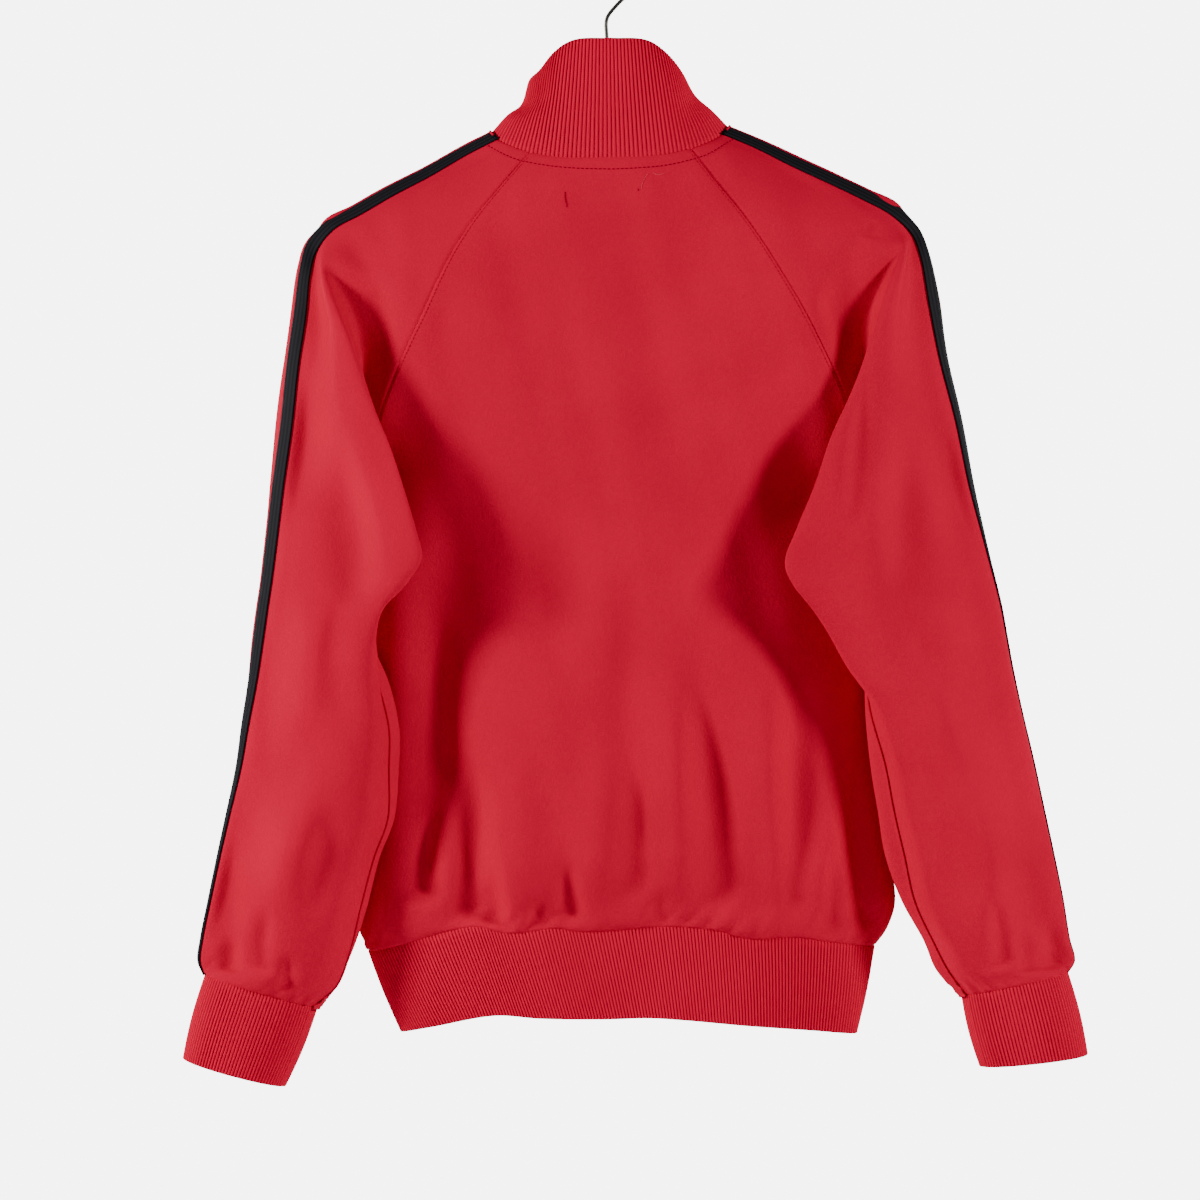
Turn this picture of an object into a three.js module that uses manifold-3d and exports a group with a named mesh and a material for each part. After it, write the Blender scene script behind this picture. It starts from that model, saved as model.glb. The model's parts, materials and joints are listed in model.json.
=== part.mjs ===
// A knit track jacket with raglan sleeves, closed to the chin and hung on a plain hanger.
// Millimetres, +Z up. The wearer's back faces +Y and the wearer's left is +X.
// The origin is where the hanger's hook bears on its rail.
import * as THREE from 'three';
import { mergeVertices } from 'three/addons/utils/BufferGeometryUtils.js';
import Module from 'manifold-3d';

const wasm = await Module();
wasm.setup();

// Cloth
const clothThickness = 1.2;
const ribThickness = 2.6;
const ribPitch = 5;
const ribHeight = 0.9;
const seamGap = 0.3;
const ribSeamGap = 0.4;
const tapeWidth = 11;
const tapeThickness = 0.9;

// Neck seam, an oval that dips to the front
const neckHalfWidth = 86.5;
const neckBackDepth = 36;
const neckFrontDepth = 50;
const neckTilt = 0.022;
const neckFlare = 0.45;
const backCorner = 42.3;
const frontCorner = 143.5;
const neckTapeAngle = 75;
const shoulderTape = 8.5;
const neckHeights = [
  { angle: 0, z: -154.6 },
  { angle: 22, z: -153.8 },
  { angle: 42, z: -148.7 },
  { angle: 65, z: -139.5 },
  { angle: 85, z: -131.6 },
  { angle: 100, z: -134.2 },
  { angle: 120, z: -148.5 },
  { angle: 143, z: -170 },
  { angle: 165, z: -193 },
  { angle: 180, z: -200 },
];

// Collar
const collarTopWidth = 61;
const collarTopBack = 37;
const collarTopFront = 50;
const collarTopHeights = [
  { angle: 0, z: -68.7 },
  { angle: 30, z: -71 },
  { angle: 60, z: -92 },
  { angle: 90, z: -110 },
  { angle: 135, z: -124 },
  { angle: 180, z: -130 },
];
const collarRows = 5;

// Torso below the armpits: half widths and depths at each height
const armpitZ = -392;
const torsoPower = 2.4;
const armholeDepth = 38;
const middleRise = { least: 0.1, power: 0.6, perRow: 0.06 };
const torso = [
  { z: -392, left: 187, right: 187, back: 46, front: -44 },
  { z: -450, left: 181, right: 182, back: 47, front: -45 },
  { z: -550, left: 178, right: 189, back: 48, front: -46 },
  { z: -620, left: 178, right: 196, back: 49, front: -47 },
  { z: -660, left: 180, right: 204, back: 51, front: -49 },
  { z: -690, left: 184, right: 208.5, back: 52, front: -50 },
  { z: -712, left: 184.5, right: 207, back: 49, front: -47 },
  { z: -733, left: 177, right: 194, back: 41, front: -39 },
];
const torsoRows = [0.09, 0.19, 0.29, 0.39, 0.49, 0.59, 0.69, 0.78, 0.85, 0.91, 0.96, 1];
const backColumns = 24;
const frontColumns = 9;
const fineSteps = 80;

// Raglan seams, from the neck to the armpit: half widths on each side and the depth
const raglanBack = [
  { z: -148, left: 56.5, right: 56.5, y: 26.6 },
  { z: -171, left: 76, right: 76, y: 31 },
  { z: -203, left: 101.5, right: 101.5, y: 35 },
  { z: -233, left: 119.5, right: 121, y: 37.5 },
  { z: -267, left: 135, right: 141, y: 39 },
  { z: -294, left: 148, right: 154.5, y: 39 },
  { z: -327, left: 161.7, right: 169.5, y: 38 },
  { z: -352, left: 170, right: 176, y: 34 },
  { z: -371, left: 177, right: 181, y: 25 },
  { z: -392, left: 187, right: 187, y: 0 },
];
const raglanFront = [
  { z: -168, left: 50, right: 50, y: -40.2 },
  { z: -203, left: 84, right: 84, y: -42 },
  { z: -233, left: 108, right: 108, y: -42 },
  { z: -267, left: 130, right: 130, y: -41 },
  { z: -294, left: 145, right: 145, y: -40 },
  { z: -327, left: 161, right: 161, y: -38 },
  { z: -352, left: 171, right: 171, y: -33 },
  { z: -371, left: 178, right: 178, y: -24 },
  { z: -392, left: 187, right: 187, y: 0 },
];

// Hem seam and hem edge across the back; the front repeats them
const hemSeam = [
  { x: -189, z: -729 },
  { x: -160, z: -725 },
  { x: -132, z: -721 },
  { x: -101, z: -722 },
  { x: -74, z: -715 },
  { x: -35, z: -712.5 },
  { x: -13, z: -714.5 },
  { x: 20, z: -716.5 },
  { x: 39, z: -714 },
  { x: 74, z: -717.5 },
  { x: 97, z: -713 },
  { x: 123, z: -718 },
  { x: 149, z: -726.5 },
  { x: 173, z: -733 },
];
const hemEdge = [
  { x: -180, z: -793 },
  { x: -146, z: -789 },
  { x: -104, z: -785 },
  { x: -35, z: -779 },
  { x: 3, z: -779.5 },
  { x: 51, z: -779 },
  { x: 84, z: -777.5 },
  { x: 130, z: -786.5 },
  { x: 153, z: -792 },
];
const hemEdgeWidths = { left: 153, right: 181, back: 37, front: -36 };
const hemRows = 2;
const ribSwell = 1.5;

// Soft troughs in the back and fronts, running up from the hem seam. Each fades in below its top,
// towards the sides and at the seam itself.
const troughFade = { below: 70, side: 25, atSeam: 0.35, seamPower: 12 };
const backTroughs = [
  { x: 133, top: -640, depth: 4, width: 9 },
  { x: 103, top: -600, depth: 5, width: 10 },
  { x: 52, top: -690, depth: 2.5, width: 9 },
  { x: 27, top: -660, depth: 3.5, width: 9 },
  { x: -15, top: -560, depth: 4.5, width: 11 },
  { x: -82, top: -520, depth: 5.5, width: 13 },
  { x: -136, top: -560, depth: 5, width: 11 },
  { x: -176, top: -650, depth: 3.5, width: 8 },
];
const frontTroughs = [
  { x: 130, top: -600, depth: 4, width: 11 },
  { x: 84, top: -540, depth: 5, width: 13 },
  { x: 40, top: -640, depth: 3, width: 10 },
  { x: -46, top: -620, depth: 3.5, width: 10 },
  { x: -96, top: -560, depth: 5, width: 13 },
  { x: -150, top: -620, depth: 4, width: 11 },
];

// Sleeve sections, a row each. x is the distance outwards from the middle of the jacket.
// edge is the outline seen from behind, tape how far the tape's middle lies behind that outline,
// fold the sleeve's back fold, valley the trough between fold and seam, seam the underarm seam,
// turn the inner edge of the sleeve's front half, back and front the depths of the sleeve.
const leftShoulder = [
  { seamZ: -172, edgeX: 110, edgeZ: -145 },
  { seamZ: -197, edgeX: 137, edgeZ: -160 },
  { seamZ: -222, edgeX: 164, edgeZ: -173.7 },
  { seamZ: -247, edgeX: 188, edgeZ: -187.3 },
  { seamZ: -270, edgeX: 208.5, edgeZ: -198.5 },
];
const leftCap = [
  { seamZ: -290, edgeX: 221.5, edgeZ: -214.5, tape: 7, foldX: 206, foldY: 24, foldZ: -230,
    valleyX: 184, valleyY: 25, back: 19, front: -18 },
  { seamZ: -310, edgeX: 226.5, edgeZ: -232, tape: 8, foldX: 201, foldY: 36, foldZ: -254,
    valleyX: 181, valleyY: 26, back: 33, front: -26 },
  { seamZ: -332, edgeX: 231, edgeZ: -262, tape: 9, foldX: 187, foldY: 48, foldZ: -289,
    valleyX: 179, valleyY: 27, back: 43, front: -32 },
  { seamZ: -352, edgeX: 236, edgeZ: -302, tape: 9, foldX: 170, foldY: 58, foldZ: -333,
    valleyX: 180, valleyY: 27, back: 51, front: -36 },
  { seamZ: -371, edgeX: 240.5, edgeZ: -348, tape: 9, foldX: 156, foldY: 66, foldZ: -366,
    valleyX: 186, valleyY: 24, back: 56, front: -38 },
];
const leftArm = [
  { edgeX: 246, edgeZ: -392, tape: 9, foldX: 146, foldY: 71, foldZ: -398, valleyX: 186, valleyY: 27,
    seamX: 187, seamY: 0, seamZ: -392, turnX: 189, turnY: -7, sideX: 191, sideY: -16, back: 60, front: -38 },
  { edgeX: 249.5, edgeZ: -424, tape: 9, foldX: 138, foldY: 74, foldZ: -427, valleyX: 178, valleyY: 36,
    seamX: 189, seamY: 4, seamZ: -424, turnX: 190, turnY: -5, sideX: 192, sideY: -16, back: 62, front: -40 },
  { edgeX: 252, edgeZ: -447, tape: 9, foldX: 134.5, foldY: 75, foldZ: -446, valleyX: 173, valleyY: 40,
    seamX: 189, seamY: 8, seamZ: -447, turnX: 190, turnY: -3, sideX: 192, sideY: -16, back: 64, front: -41 },
  { edgeX: 253.5, edgeZ: -462, tape: 8.5, foldX: 144, foldY: 73, foldZ: -461, valleyX: 174, valleyY: 39,
    seamX: 188, seamY: 12, seamZ: -462, turnX: 190, turnY: 0, sideX: 192, sideY: -14, back: 65, front: -42 },
  { edgeX: 256, edgeZ: -481, tape: 8, foldX: 161, foldY: 67, foldZ: -481, valleyX: 175, valleyY: 42,
    seamX: 184, seamY: 20, seamZ: -481, turnX: 189, turnY: 8, sideX: 191, sideY: -8, back: 66, front: -42 },
  { edgeX: 259, edgeZ: -505, tape: 7.5, foldX: 168, foldY: 61, foldZ: -505, valleyX: 168, valleyY: 49,
    seamX: 174, seamY: 37, seamZ: -505, turnX: 177, turnY: 24, sideX: 190, sideY: 2, back: 66, front: -43 },
  { edgeX: 262, edgeZ: -534, tape: 5.5, foldX: 173, foldY: 60, foldZ: -534, valleyX: 166, valleyY: 51,
    seamX: 168, seamY: 46, seamZ: -534, turnX: 162, turnY: 33, sideX: 188, sideY: 8, back: 65, front: -43 },
  { edgeX: 267, edgeZ: -568, tape: 3.5, foldX: 173, foldY: 60, foldZ: -568, valleyX: 163, valleyY: 51,
    seamX: 160, seamY: 44, seamZ: -568, turnX: 154.4, turnY: 33, sideX: 188, sideY: 8, back: 64, front: -42 },
  { edgeX: 271, edgeZ: -598, tape: 1.5, foldX: 174, foldY: 59, foldZ: -598, valleyX: 164, valleyY: 50,
    seamX: 160, seamY: 42, seamZ: -598, turnX: 154.6, turnY: 32, sideX: 188, sideY: 8, back: 63, front: -41 },
  { edgeX: 278, edgeZ: -631, tape: 0, foldX: 178, foldY: 57, foldZ: -633, valleyX: 168, valleyY: 49,
    seamX: 161, seamY: 39, seamZ: -634, turnX: 157.5, turnY: 31, sideX: 189, sideY: 6, back: 62, front: -38 },
  { edgeX: 284, edgeZ: -659, tape: -1, foldX: 186, foldY: 55, foldZ: -661, valleyX: 176, valleyY: 46,
    seamX: 171, seamY: 37, seamZ: -662, turnX: 168, turnY: 30, sideX: 191, sideY: 4, back: 60, front: -34 },
  { edgeX: 291, edgeZ: -693, tape: -2, foldX: 197, foldY: 51, foldZ: -697, valleyX: 186, valleyY: 42,
    seamX: 181, seamY: 33, seamZ: -699, turnX: 178, turnY: 26, sideX: 194, sideY: 1, back: 56, front: -28 },
  { edgeX: 297, edgeZ: -722, tape: -2.5, foldX: 207, foldY: 45, foldZ: -727, valleyX: 195, valleyY: 38,
    seamX: 189, seamY: 30, seamZ: -731, turnX: 188.5, turnY: 22, sideX: 199, sideY: -1, back: 49, front: -22 },
  { edgeX: 299, edgeZ: -738, tape: -3, foldX: 218, foldY: 41, foldZ: -750, valleyX: 206, valleyY: 34,
    seamX: 199, seamY: 27, seamZ: -756, turnX: 200, turnY: 19, sideX: 205, sideY: 1, back: 44, front: -17 },
];
const rightShoulder = [
  { seamZ: -170, edgeX: 112, edgeZ: -139.7 },
  { seamZ: -195, edgeX: 139, edgeZ: -152.5 },
  { seamZ: -220, edgeX: 166, edgeZ: -164.7 },
  { seamZ: -245, edgeX: 190, edgeZ: -176 },
  { seamZ: -268, edgeX: 212, edgeZ: -187.8 },
];
const rightCap = [
  { seamZ: -288, edgeX: 225, edgeZ: -204.5, tape: 3, foldX: 211, foldY: 24, foldZ: -218,
    valleyX: 189, valleyY: 25, back: 19, front: -18 },
  { seamZ: -308, edgeX: 232, edgeZ: -223, tape: 3.5, foldX: 204, foldY: 36, foldZ: -242,
    valleyX: 186, valleyY: 26, back: 33, front: -26 },
  { seamZ: -330, edgeX: 239, edgeZ: -256, tape: 5, foldX: 190, foldY: 48, foldZ: -281,
    valleyX: 184, valleyY: 27, back: 43, front: -32 },
  { seamZ: -351, edgeX: 244.5, edgeZ: -298, tape: 3, foldX: 172, foldY: 58, foldZ: -329,
    valleyX: 184, valleyY: 27, back: 51, front: -36 },
  { seamZ: -371, edgeX: 255, edgeZ: -345, tape: 2, foldX: 156, foldY: 66, foldZ: -367,
    valleyX: 187, valleyY: 24, back: 56, front: -38 },
];
const rightArm = [
  { edgeX: 263.5, edgeZ: -392, tape: 1, foldX: 144, foldY: 71, foldZ: -398, valleyX: 186, valleyY: 27,
    seamX: 187, seamY: 0, seamZ: -392, turnX: 189, turnY: -7, sideX: 191, sideY: -16, back: 60, front: -38 },
  { edgeX: 270.5, edgeZ: -424, tape: -1, foldX: 133, foldY: 74, foldZ: -427, valleyX: 178, valleyY: 36,
    seamX: 189, seamY: 4, seamZ: -424, turnX: 190, turnY: -5, sideX: 192, sideY: -16, back: 62, front: -40 },
  { edgeX: 276, edgeZ: -448, tape: -3, foldX: 125.5, foldY: 76, foldZ: -450, valleyX: 172, valleyY: 40,
    seamX: 189, seamY: 8, seamZ: -448, turnX: 190, turnY: -3, sideX: 192, sideY: -16, back: 64, front: -41 },
  { edgeX: 280, edgeZ: -464, tape: -4, foldX: 131, foldY: 75, foldZ: -465, valleyX: 173, valleyY: 40,
    seamX: 188, seamY: 12, seamZ: -463, turnX: 190, turnY: 1, sideX: 192, sideY: -14, back: 65, front: -42 },
  { edgeX: 284, edgeZ: -481, tape: -5, foldX: 143, foldY: 71, foldZ: -481, valleyX: 175, valleyY: 42,
    seamX: 187, seamY: 17, seamZ: -481, turnX: 190, turnY: 6, sideX: 191, sideY: -8, back: 66, front: -42 },
  { edgeX: 287.5, edgeZ: -500, tape: -6, foldX: 156, foldY: 66, foldZ: -500, valleyX: 176, valleyY: 46,
    seamX: 186, seamY: 24, seamZ: -500, turnX: 190, turnY: 12, sideX: 192, sideY: -4, back: 66, front: -43 },
  { edgeX: 292, edgeZ: -524, tape: -7, foldX: 171, foldY: 61, foldZ: -524, valleyX: 179, valleyY: 48,
    seamX: 185, seamY: 34, seamZ: -524, turnX: 186.5, turnY: 20, sideX: 193, sideY: 0, back: 65, front: -43 },
  { edgeX: 299, edgeZ: -556, tape: -8, foldX: 196, foldY: 59, foldZ: -556, valleyX: 190, valleyY: 50,
    seamX: 188.5, seamY: 40, seamZ: -556, turnX: 185.5, turnY: 31, sideX: 196, sideY: 4, back: 64, front: -42 },
  { edgeX: 308, edgeZ: -594, tape: -8, foldX: 209, foldY: 59, foldZ: -594, valleyX: 202, valleyY: 50,
    seamX: 199, seamY: 40, seamZ: -594, turnX: 189, turnY: 31, sideX: 203, sideY: 4, back: 63, front: -41 },
  { edgeX: 315.5, edgeZ: -629, tape: -8, foldX: 217, foldY: 57, foldZ: -630, valleyX: 209, valleyY: 48,
    seamX: 206, seamY: 39, seamZ: -630, turnX: 195.5, turnY: 30, sideX: 209, sideY: 4, back: 62, front: -38 },
  { edgeX: 322, edgeZ: -659, tape: -8, foldX: 225, foldY: 55, foldZ: -660, valleyX: 217, valleyY: 46,
    seamX: 213, seamY: 37, seamZ: -660, turnX: 201, turnY: 29, sideX: 214, sideY: 3, back: 60, front: -34 },
  { edgeX: 329, edgeZ: -693, tape: -8, foldX: 234, foldY: 51, foldZ: -694, valleyX: 225, valleyY: 42,
    seamX: 221, seamY: 34, seamZ: -694, turnX: 213, turnY: 26, sideX: 219, sideY: 2, back: 56, front: -28 },
  { edgeX: 334, edgeZ: -722, tape: -8, foldX: 249, foldY: 46, foldZ: -724, valleyX: 240, valleyY: 38,
    seamX: 235, seamY: 30, seamZ: -724, turnX: 229, turnY: 22, sideX: 232, sideY: 1, back: 49, front: -22 },
  { edgeX: 338, edgeZ: -738, tape: -8, foldX: 261, foldY: 41, foldZ: -744, valleyX: 251, valleyY: 34,
    seamX: 246, seamY: 26, seamZ: -745, turnX: 238, turnY: 20, sideX: 242, sideY: 2, back: 44, front: -17 },
];
const backCount = 10;
const frontPlaces = [0, 0.5, 1, 1.5, 2, 3, 4, 5, 5.5, 6];

// Cuffs: the outer and inner ends of the seam and of the open end, seen from behind
const cuffs = {
  left: { seamOuterX: 295.4, seamOuterZ: -748.7, seamInnerX: 213, seamInnerZ: -773, endOuterX: 311.5,
    endOuterZ: -810, endInnerX: 236.5, endInnerZ: -830.5, tape: -3 },
  right: { seamOuterX: 334, seamOuterZ: -747, seamInnerX: 256, seamInnerZ: -764, endOuterX: 348.5,
    endOuterZ: -807, endInnerX: 269.5, endInnerZ: -816, tape: -8 },
};
const cuffMiddleY = 14;
const cuffHalfDepth = 25;
const cuffRows = 2;

// Zip
const chainHalfWidth = 2.6;
const chainHalfDepth = 1.1;
const zipHalfWidth = 7.2;
const zipTapeThickness = 1;
const zipTop = -133;
const zipBottom = -781;
const stopHeight = 9;
const stop = { halfWidth: 4.6, ahead: 1.4, behind: 2.2 };
const sliderHalfWidth = 4.2;
const sliderHeight = 13;
const sliderTop = { slot: 0.4, body: 2 };
const plateThickness = 1.3;
const pull = { length: 24, halfWidth: 3, halfThickness: 0.55, neckTop: 1.2, plateTop: 3 };
const overlap = 0.2;

// Hanger
const barRadius = 6;
const barDrop = 10.6;
const barEnd = 203;
const barArch = [
  { x: 66, z: -139 },
  { x: 36, z: -129 },
  { x: 0, z: -125 },
  { x: -36, z: -128 },
  { x: -66, z: -136 },
];
const barCentreZ = barArch[2].z;
const wireRadius = 1.4;
const hookRadius = 18;
const stemX = 2.2;
const stemHeights = [-124, -105, -85, -65, -50];
const hookBend = { x: -4.4, z: -40.8 };
const hookArc = { start: 232, end: -25, steps: 18 };

const sides = { left: 1, right: -1 };
const degrees = Math.PI / 180;
const up = new THREE.Vector3(0, 0, 1);
const point = (x, y, z) => new THREE.Vector3(x, y, z);
const mix = (a, b, share) => a + (b - a) * share;

// Reads one named column of a table at a place along its key column, smoothly between rows
function read(table, key, name, at) {
  const rising = Math.sign(table[1][key] - table[0][key]);
  let row = 0;
  while (row < table.length - 2 && rising * (at - table[row + 1][key]) > 0) row += 1;
  const slope = (i) => {
    const before = table[Math.max(i - 1, 0)];
    const after = table[Math.min(i + 1, table.length - 1)];
    return (after[name] - before[name]) / (after[key] - before[key]);
  };
  const span = table[row + 1][key] - table[row][key];
  const t = THREE.MathUtils.clamp((at - table[row][key]) / span, 0, 1);
  const ease = t * t * (3 - 2 * t);
  const start = t * (1 - t) * (1 - t) * span * slope(row);
  const end = t * t * (1 - t) * span * slope(row + 1);
  return mix(table[row][name], table[row + 1][name], ease) + start - end;
}

// A point of an oval ring; the angle runs from the centre back to the wearer's left
function ringPoint(angle, halfWidth, backDepth, frontDepth, heights, tilt) {
  const turn = angle * degrees;
  const depth = Math.cos(turn) > 0 ? backDepth : frontDepth;
  const x = halfWidth * Math.sin(turn);
  const z = read(heights, 'angle', 'z', Math.abs(angle)) - tilt * x;
  return point(x, depth * Math.cos(turn), z);
}

const neckPoint = (angle) =>
  ringPoint(angle, neckHalfWidth, neckBackDepth, neckFrontDepth, neckHeights, neckTilt);

// Across the neck seam the cloth leans outwards and up
function neckNormal(p) {
  const depth = p.y > 0 ? neckBackDepth : neckFrontDepth;
  const out = point(p.x / neckHalfWidth ** 2, p.y / depth ** 2, 0).normalize();
  return out.addScaledVector(up, neckFlare).normalize();
}

// Turns a grid of points and one inside it into a closed wall. The two may differ in columns.
function wallGeometry(outer, inner, isRound = false) {
  const corners = [];
  const faces = [];
  const number = (grid) => grid.map((row) => {
    const ids = row.slice(0, isRound ? -1 : undefined).map((p) => corners.push(p.x, p.y, p.z) / 3 - 1);
    return isRound ? [...ids, ids[0]] : ids;
  });
  const surface = (ids, facesIn) => {
    for (let r = 0; r < ids.length - 1; r += 1) {
      for (let c = 0; c < ids[r].length - 1; c += 1) {
        const [a, b, d, e] = [ids[r][c], ids[r][c + 1], ids[r + 1][c], ids[r + 1][c + 1]];
        faces.push(...(facesIn ? [a, e, d, a, b, e] : [a, d, e, a, e, b]));
      }
    }
  };
  const stitch = (p, q) => {
    let i = 0;
    let j = 0;
    while (i < p.length - 1 || j < q.length - 1) {
      const stepP = (i + 1) / (p.length - 1) <= (j + 1) / (q.length - 1) + 1e-9;
      if (i < p.length - 1 && (stepP || j === q.length - 1)) {
        faces.push(p[i], p[i + 1], q[j]);
        i += 1;
      } else {
        faces.push(p[i], q[j + 1], q[j]);
        j += 1;
      }
    }
  };
  const a = number(outer);
  const b = number(inner);
  surface(a, false);
  surface(b, true);
  stitch(a[0], b[0]);
  stitch(a.at(-1).toReversed(), b.at(-1).toReversed());
  if (!isRound) {
    stitch(a.map((row) => row[0]).toReversed(), b.map((row) => row[0]).toReversed());
    stitch(a.map((row) => row.at(-1)), b.map((row) => row.at(-1)));
  }
  const geometry = new THREE.BufferGeometry();
  geometry.setAttribute('position', new THREE.Float32BufferAttribute(corners, 3));
  geometry.setIndex(faces);
  return facingOut(geometry);
}

// Turns the faces round where a closed geometry's volume comes out negative
function facingOut(geometry) {
  const ids = geometry.index.array;
  const corner = (i) => new THREE.Vector3().fromBufferAttribute(geometry.attributes.position, ids[i]);
  let volume = 0;
  for (let i = 0; i < ids.length; i += 3) volume += corner(i).dot(corner(i + 1).cross(corner(i + 2)));
  if (volume < 0) {
    const turned = [];
    for (let i = 0; i < ids.length; i += 3) turned.push(ids[i], ids[i + 2], ids[i + 1]);
    geometry.setIndex(turned);
  }
  geometry.computeVertexNormals();
  return geometry;
}

// Normals of a grid, all on the side that its middle shares with the hint
function gridNormals(grid, hint, isRound = false) {
  const rows = grid.length;
  const columns = grid[0].length;
  const around = (c) => (c + columns - 1) % (columns - 1);
  const normals = grid.map((row, r) => row.map((_, c) => {
    const above = grid[Math.max(r - 1, 0)][c];
    const below = grid[Math.min(r + 1, rows - 1)][c];
    const before = isRound ? row[around(c - 1)] : row[Math.max(c - 1, 0)];
    const after = isRound ? row[around(c + 1)] : row[Math.min(c + 1, columns - 1)];
    return below.clone().sub(above).cross(after.clone().sub(before)).normalize();
  }));
  const middle = normals[Math.floor(rows / 2)][Math.floor(columns / 2)];
  if (middle.dot(hint) < 0) normals.flat().forEach((n) => n.negate());
  return normals;
}

// Gives two edges that meet at a seam the mean of their normals
function shareNormals(edgeA, edgeB) {
  edgeA.forEach((n, i) => {
    n.add(edgeB[i]).normalize();
    edgeB[i].copy(n);
  });
}

// Cloth between a grid and the same grid moved in, held back by half a seam gap at its edges
function clothWall(grid, normals, thickness, seams) {
  const rows = grid.length - 1;
  const columns = grid[0].length - 1;
  const away = (from, to) => to.clone().sub(from).setLength(seamGap / 2);
  const outer = grid.map((row, r) => row.map((p, c) => {
    const moved = p.clone();
    if (seams.includes('top') && r === 0) moved.add(away(p, grid[1][c]));
    if (seams.includes('bottom') && r === rows) moved.add(away(p, grid[rows - 1][c]));
    if (seams.includes('first') && c === 0) moved.add(away(p, row[1]));
    if (seams.includes('last') && c === columns) moved.add(away(p, row[columns - 1]));
    return moved;
  }));
  const inner = outer.map((row, r) => row.map((p, c) => (
    p.clone().addScaledVector(normals[r][c], -thickness))));
  return wallGeometry(outer, inner);
}

function lengthsOf(line) {
  const lengths = [0];
  line.slice(1).forEach((p, i) => lengths.push(lengths[i] + p.distanceTo(line[i])));
  return lengths;
}

// The point at a distance along a line of points
function pointAlong(line, lengths, at) {
  let i = 1;
  while (i < line.length - 1 && lengths[i] < at) i += 1;
  return line[i - 1].clone().lerp(line[i], (at - lengths[i - 1]) / (lengths[i] - lengths[i - 1]));
}

// Points at equal distances along a line
function spaced(line, count) {
  const lengths = lengthsOf(line);
  return Array.from({ length: count + 1 }, (_, k) => pointAlong(line, lengths, lengths.at(-1) * k / count));
}

// Rib knit between two loops: ribs stand out over a plain inside. held names the ends that meet a seam.
function ribWall(topLine, endLine, { rows, swell, hint, isRound, held, seamNormal }) {
  const ribs = Math.round(lengthsOf(topLine).at(-1) / ribPitch);
  const wallSide = (count, offset) => {
    const top = spaced(topLine, count);
    const end = spaced(endLine, count);
    const line = (r) => top.map((p, c) => p.clone().lerp(end[c], r / rows));
    const grid = Array.from({ length: rows + 1 }, (_, r) => line(r));
    const normals = gridNormals(grid, hint, isRound);
    const seamRow = held === 'top' ? 0 : rows;
    normals[seamRow].forEach((n, c) => n.copy(seamNormal(grid[seamRow][c], n)));
    return grid.map((row, r) => row.map((p, c) => {
      const bulge = swell * Math.sin(Math.PI * r / rows);
      const moved = p.clone().addScaledVector(normals[r][c], bulge + offset(c));
      const across = held === 'top' ? end[c] : top[c];
      if (r === seamRow) moved.add(across.clone().sub(p).setLength(ribSeamGap));
      return moved;
    }));
  };
  const outer = wallSide(ribs * 2, (c) => (c % 2 ? 0 : -ribHeight));
  const inner = wallSide(Math.ceil(ribs / 2), () => -ribThickness);
  return wallGeometry(outer, inner, isRound);
}

// Stations along the raglan seams, from the neck to the armpit
const sleeveRows = {
  left: { shoulder: leftShoulder, cap: leftCap, arm: leftArm },
  right: { shoulder: rightShoulder, cap: rightCap, arm: rightArm },
};

function raglanStations(side) {
  const { shoulder, cap, arm } = sleeveRows[side];
  const sign = sides[side];
  const backTop = neckPoint(sign * backCorner);
  const frontTop = neckPoint(sign * frontCorner);
  const heights = [...shoulder, ...cap, arm[0]].map((row) => row.seamZ);
  const seamPoint = (table, z) => point(sign * read(table, 'z', side, z), read(table, 'z', 'y', z), z);
  const back = heights.map((z) => seamPoint(raglanBack, z));
  const front = heights.map((z) => {
    const share = (z - backTop.z) / (armpitZ - backTop.z);
    return seamPoint(raglanFront, mix(frontTop.z, armpitZ, share));
  });
  return { back: [backTop, ...back], front: [frontTop, ...front] };
}

const stations = { left: raglanStations('left'), right: raglanStations('right') };
const upperRows = stations.left.back.length;

// One torso section from the angle at its start to the angle at its end, as a fine line.
// Angles run from the centre back to the wearer's left and right sides at 90 degrees.
function torsoLine(from, to, ends, middle) {
  return Array.from({ length: fineSteps + 1 }, (_, i) => {
    const angle = mix(from, to, i / fineSteps) * degrees;
    const end = Math.sin(angle) > 0 ? ends.left : ends.right;
    const across = Math.abs(Math.sin(angle)) ** (2 / torsoPower);
    const lowered = THREE.MathUtils.clamp(Math.abs(end.y) / armholeDepth, 0, 1);
    const along = Math.abs(Math.cos(angle)) ** (1 + lowered);
    const z = mix(middle.z, end.z, across * across);
    return point(end.x * across, mix(end.y, middle.y, along), z);
  });
}

const hemSeamZ = (x) => read(hemSeam, 'x', 'z', x);
const hemSideZ = torso.at(-1).z;

function troughDepth(troughs, p, seamShare) {
  let depth = 0;
  troughs.forEach((trough) => {
    const across = (p.x - trough.x) / trough.width;
    const down = THREE.MathUtils.smoothstep(-p.z, -trough.top, -trough.top + troughFade.below);
    depth += trough.depth * Math.exp(-across * across / 2) * down;
  });
  return depth * seamShare;
}

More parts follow.
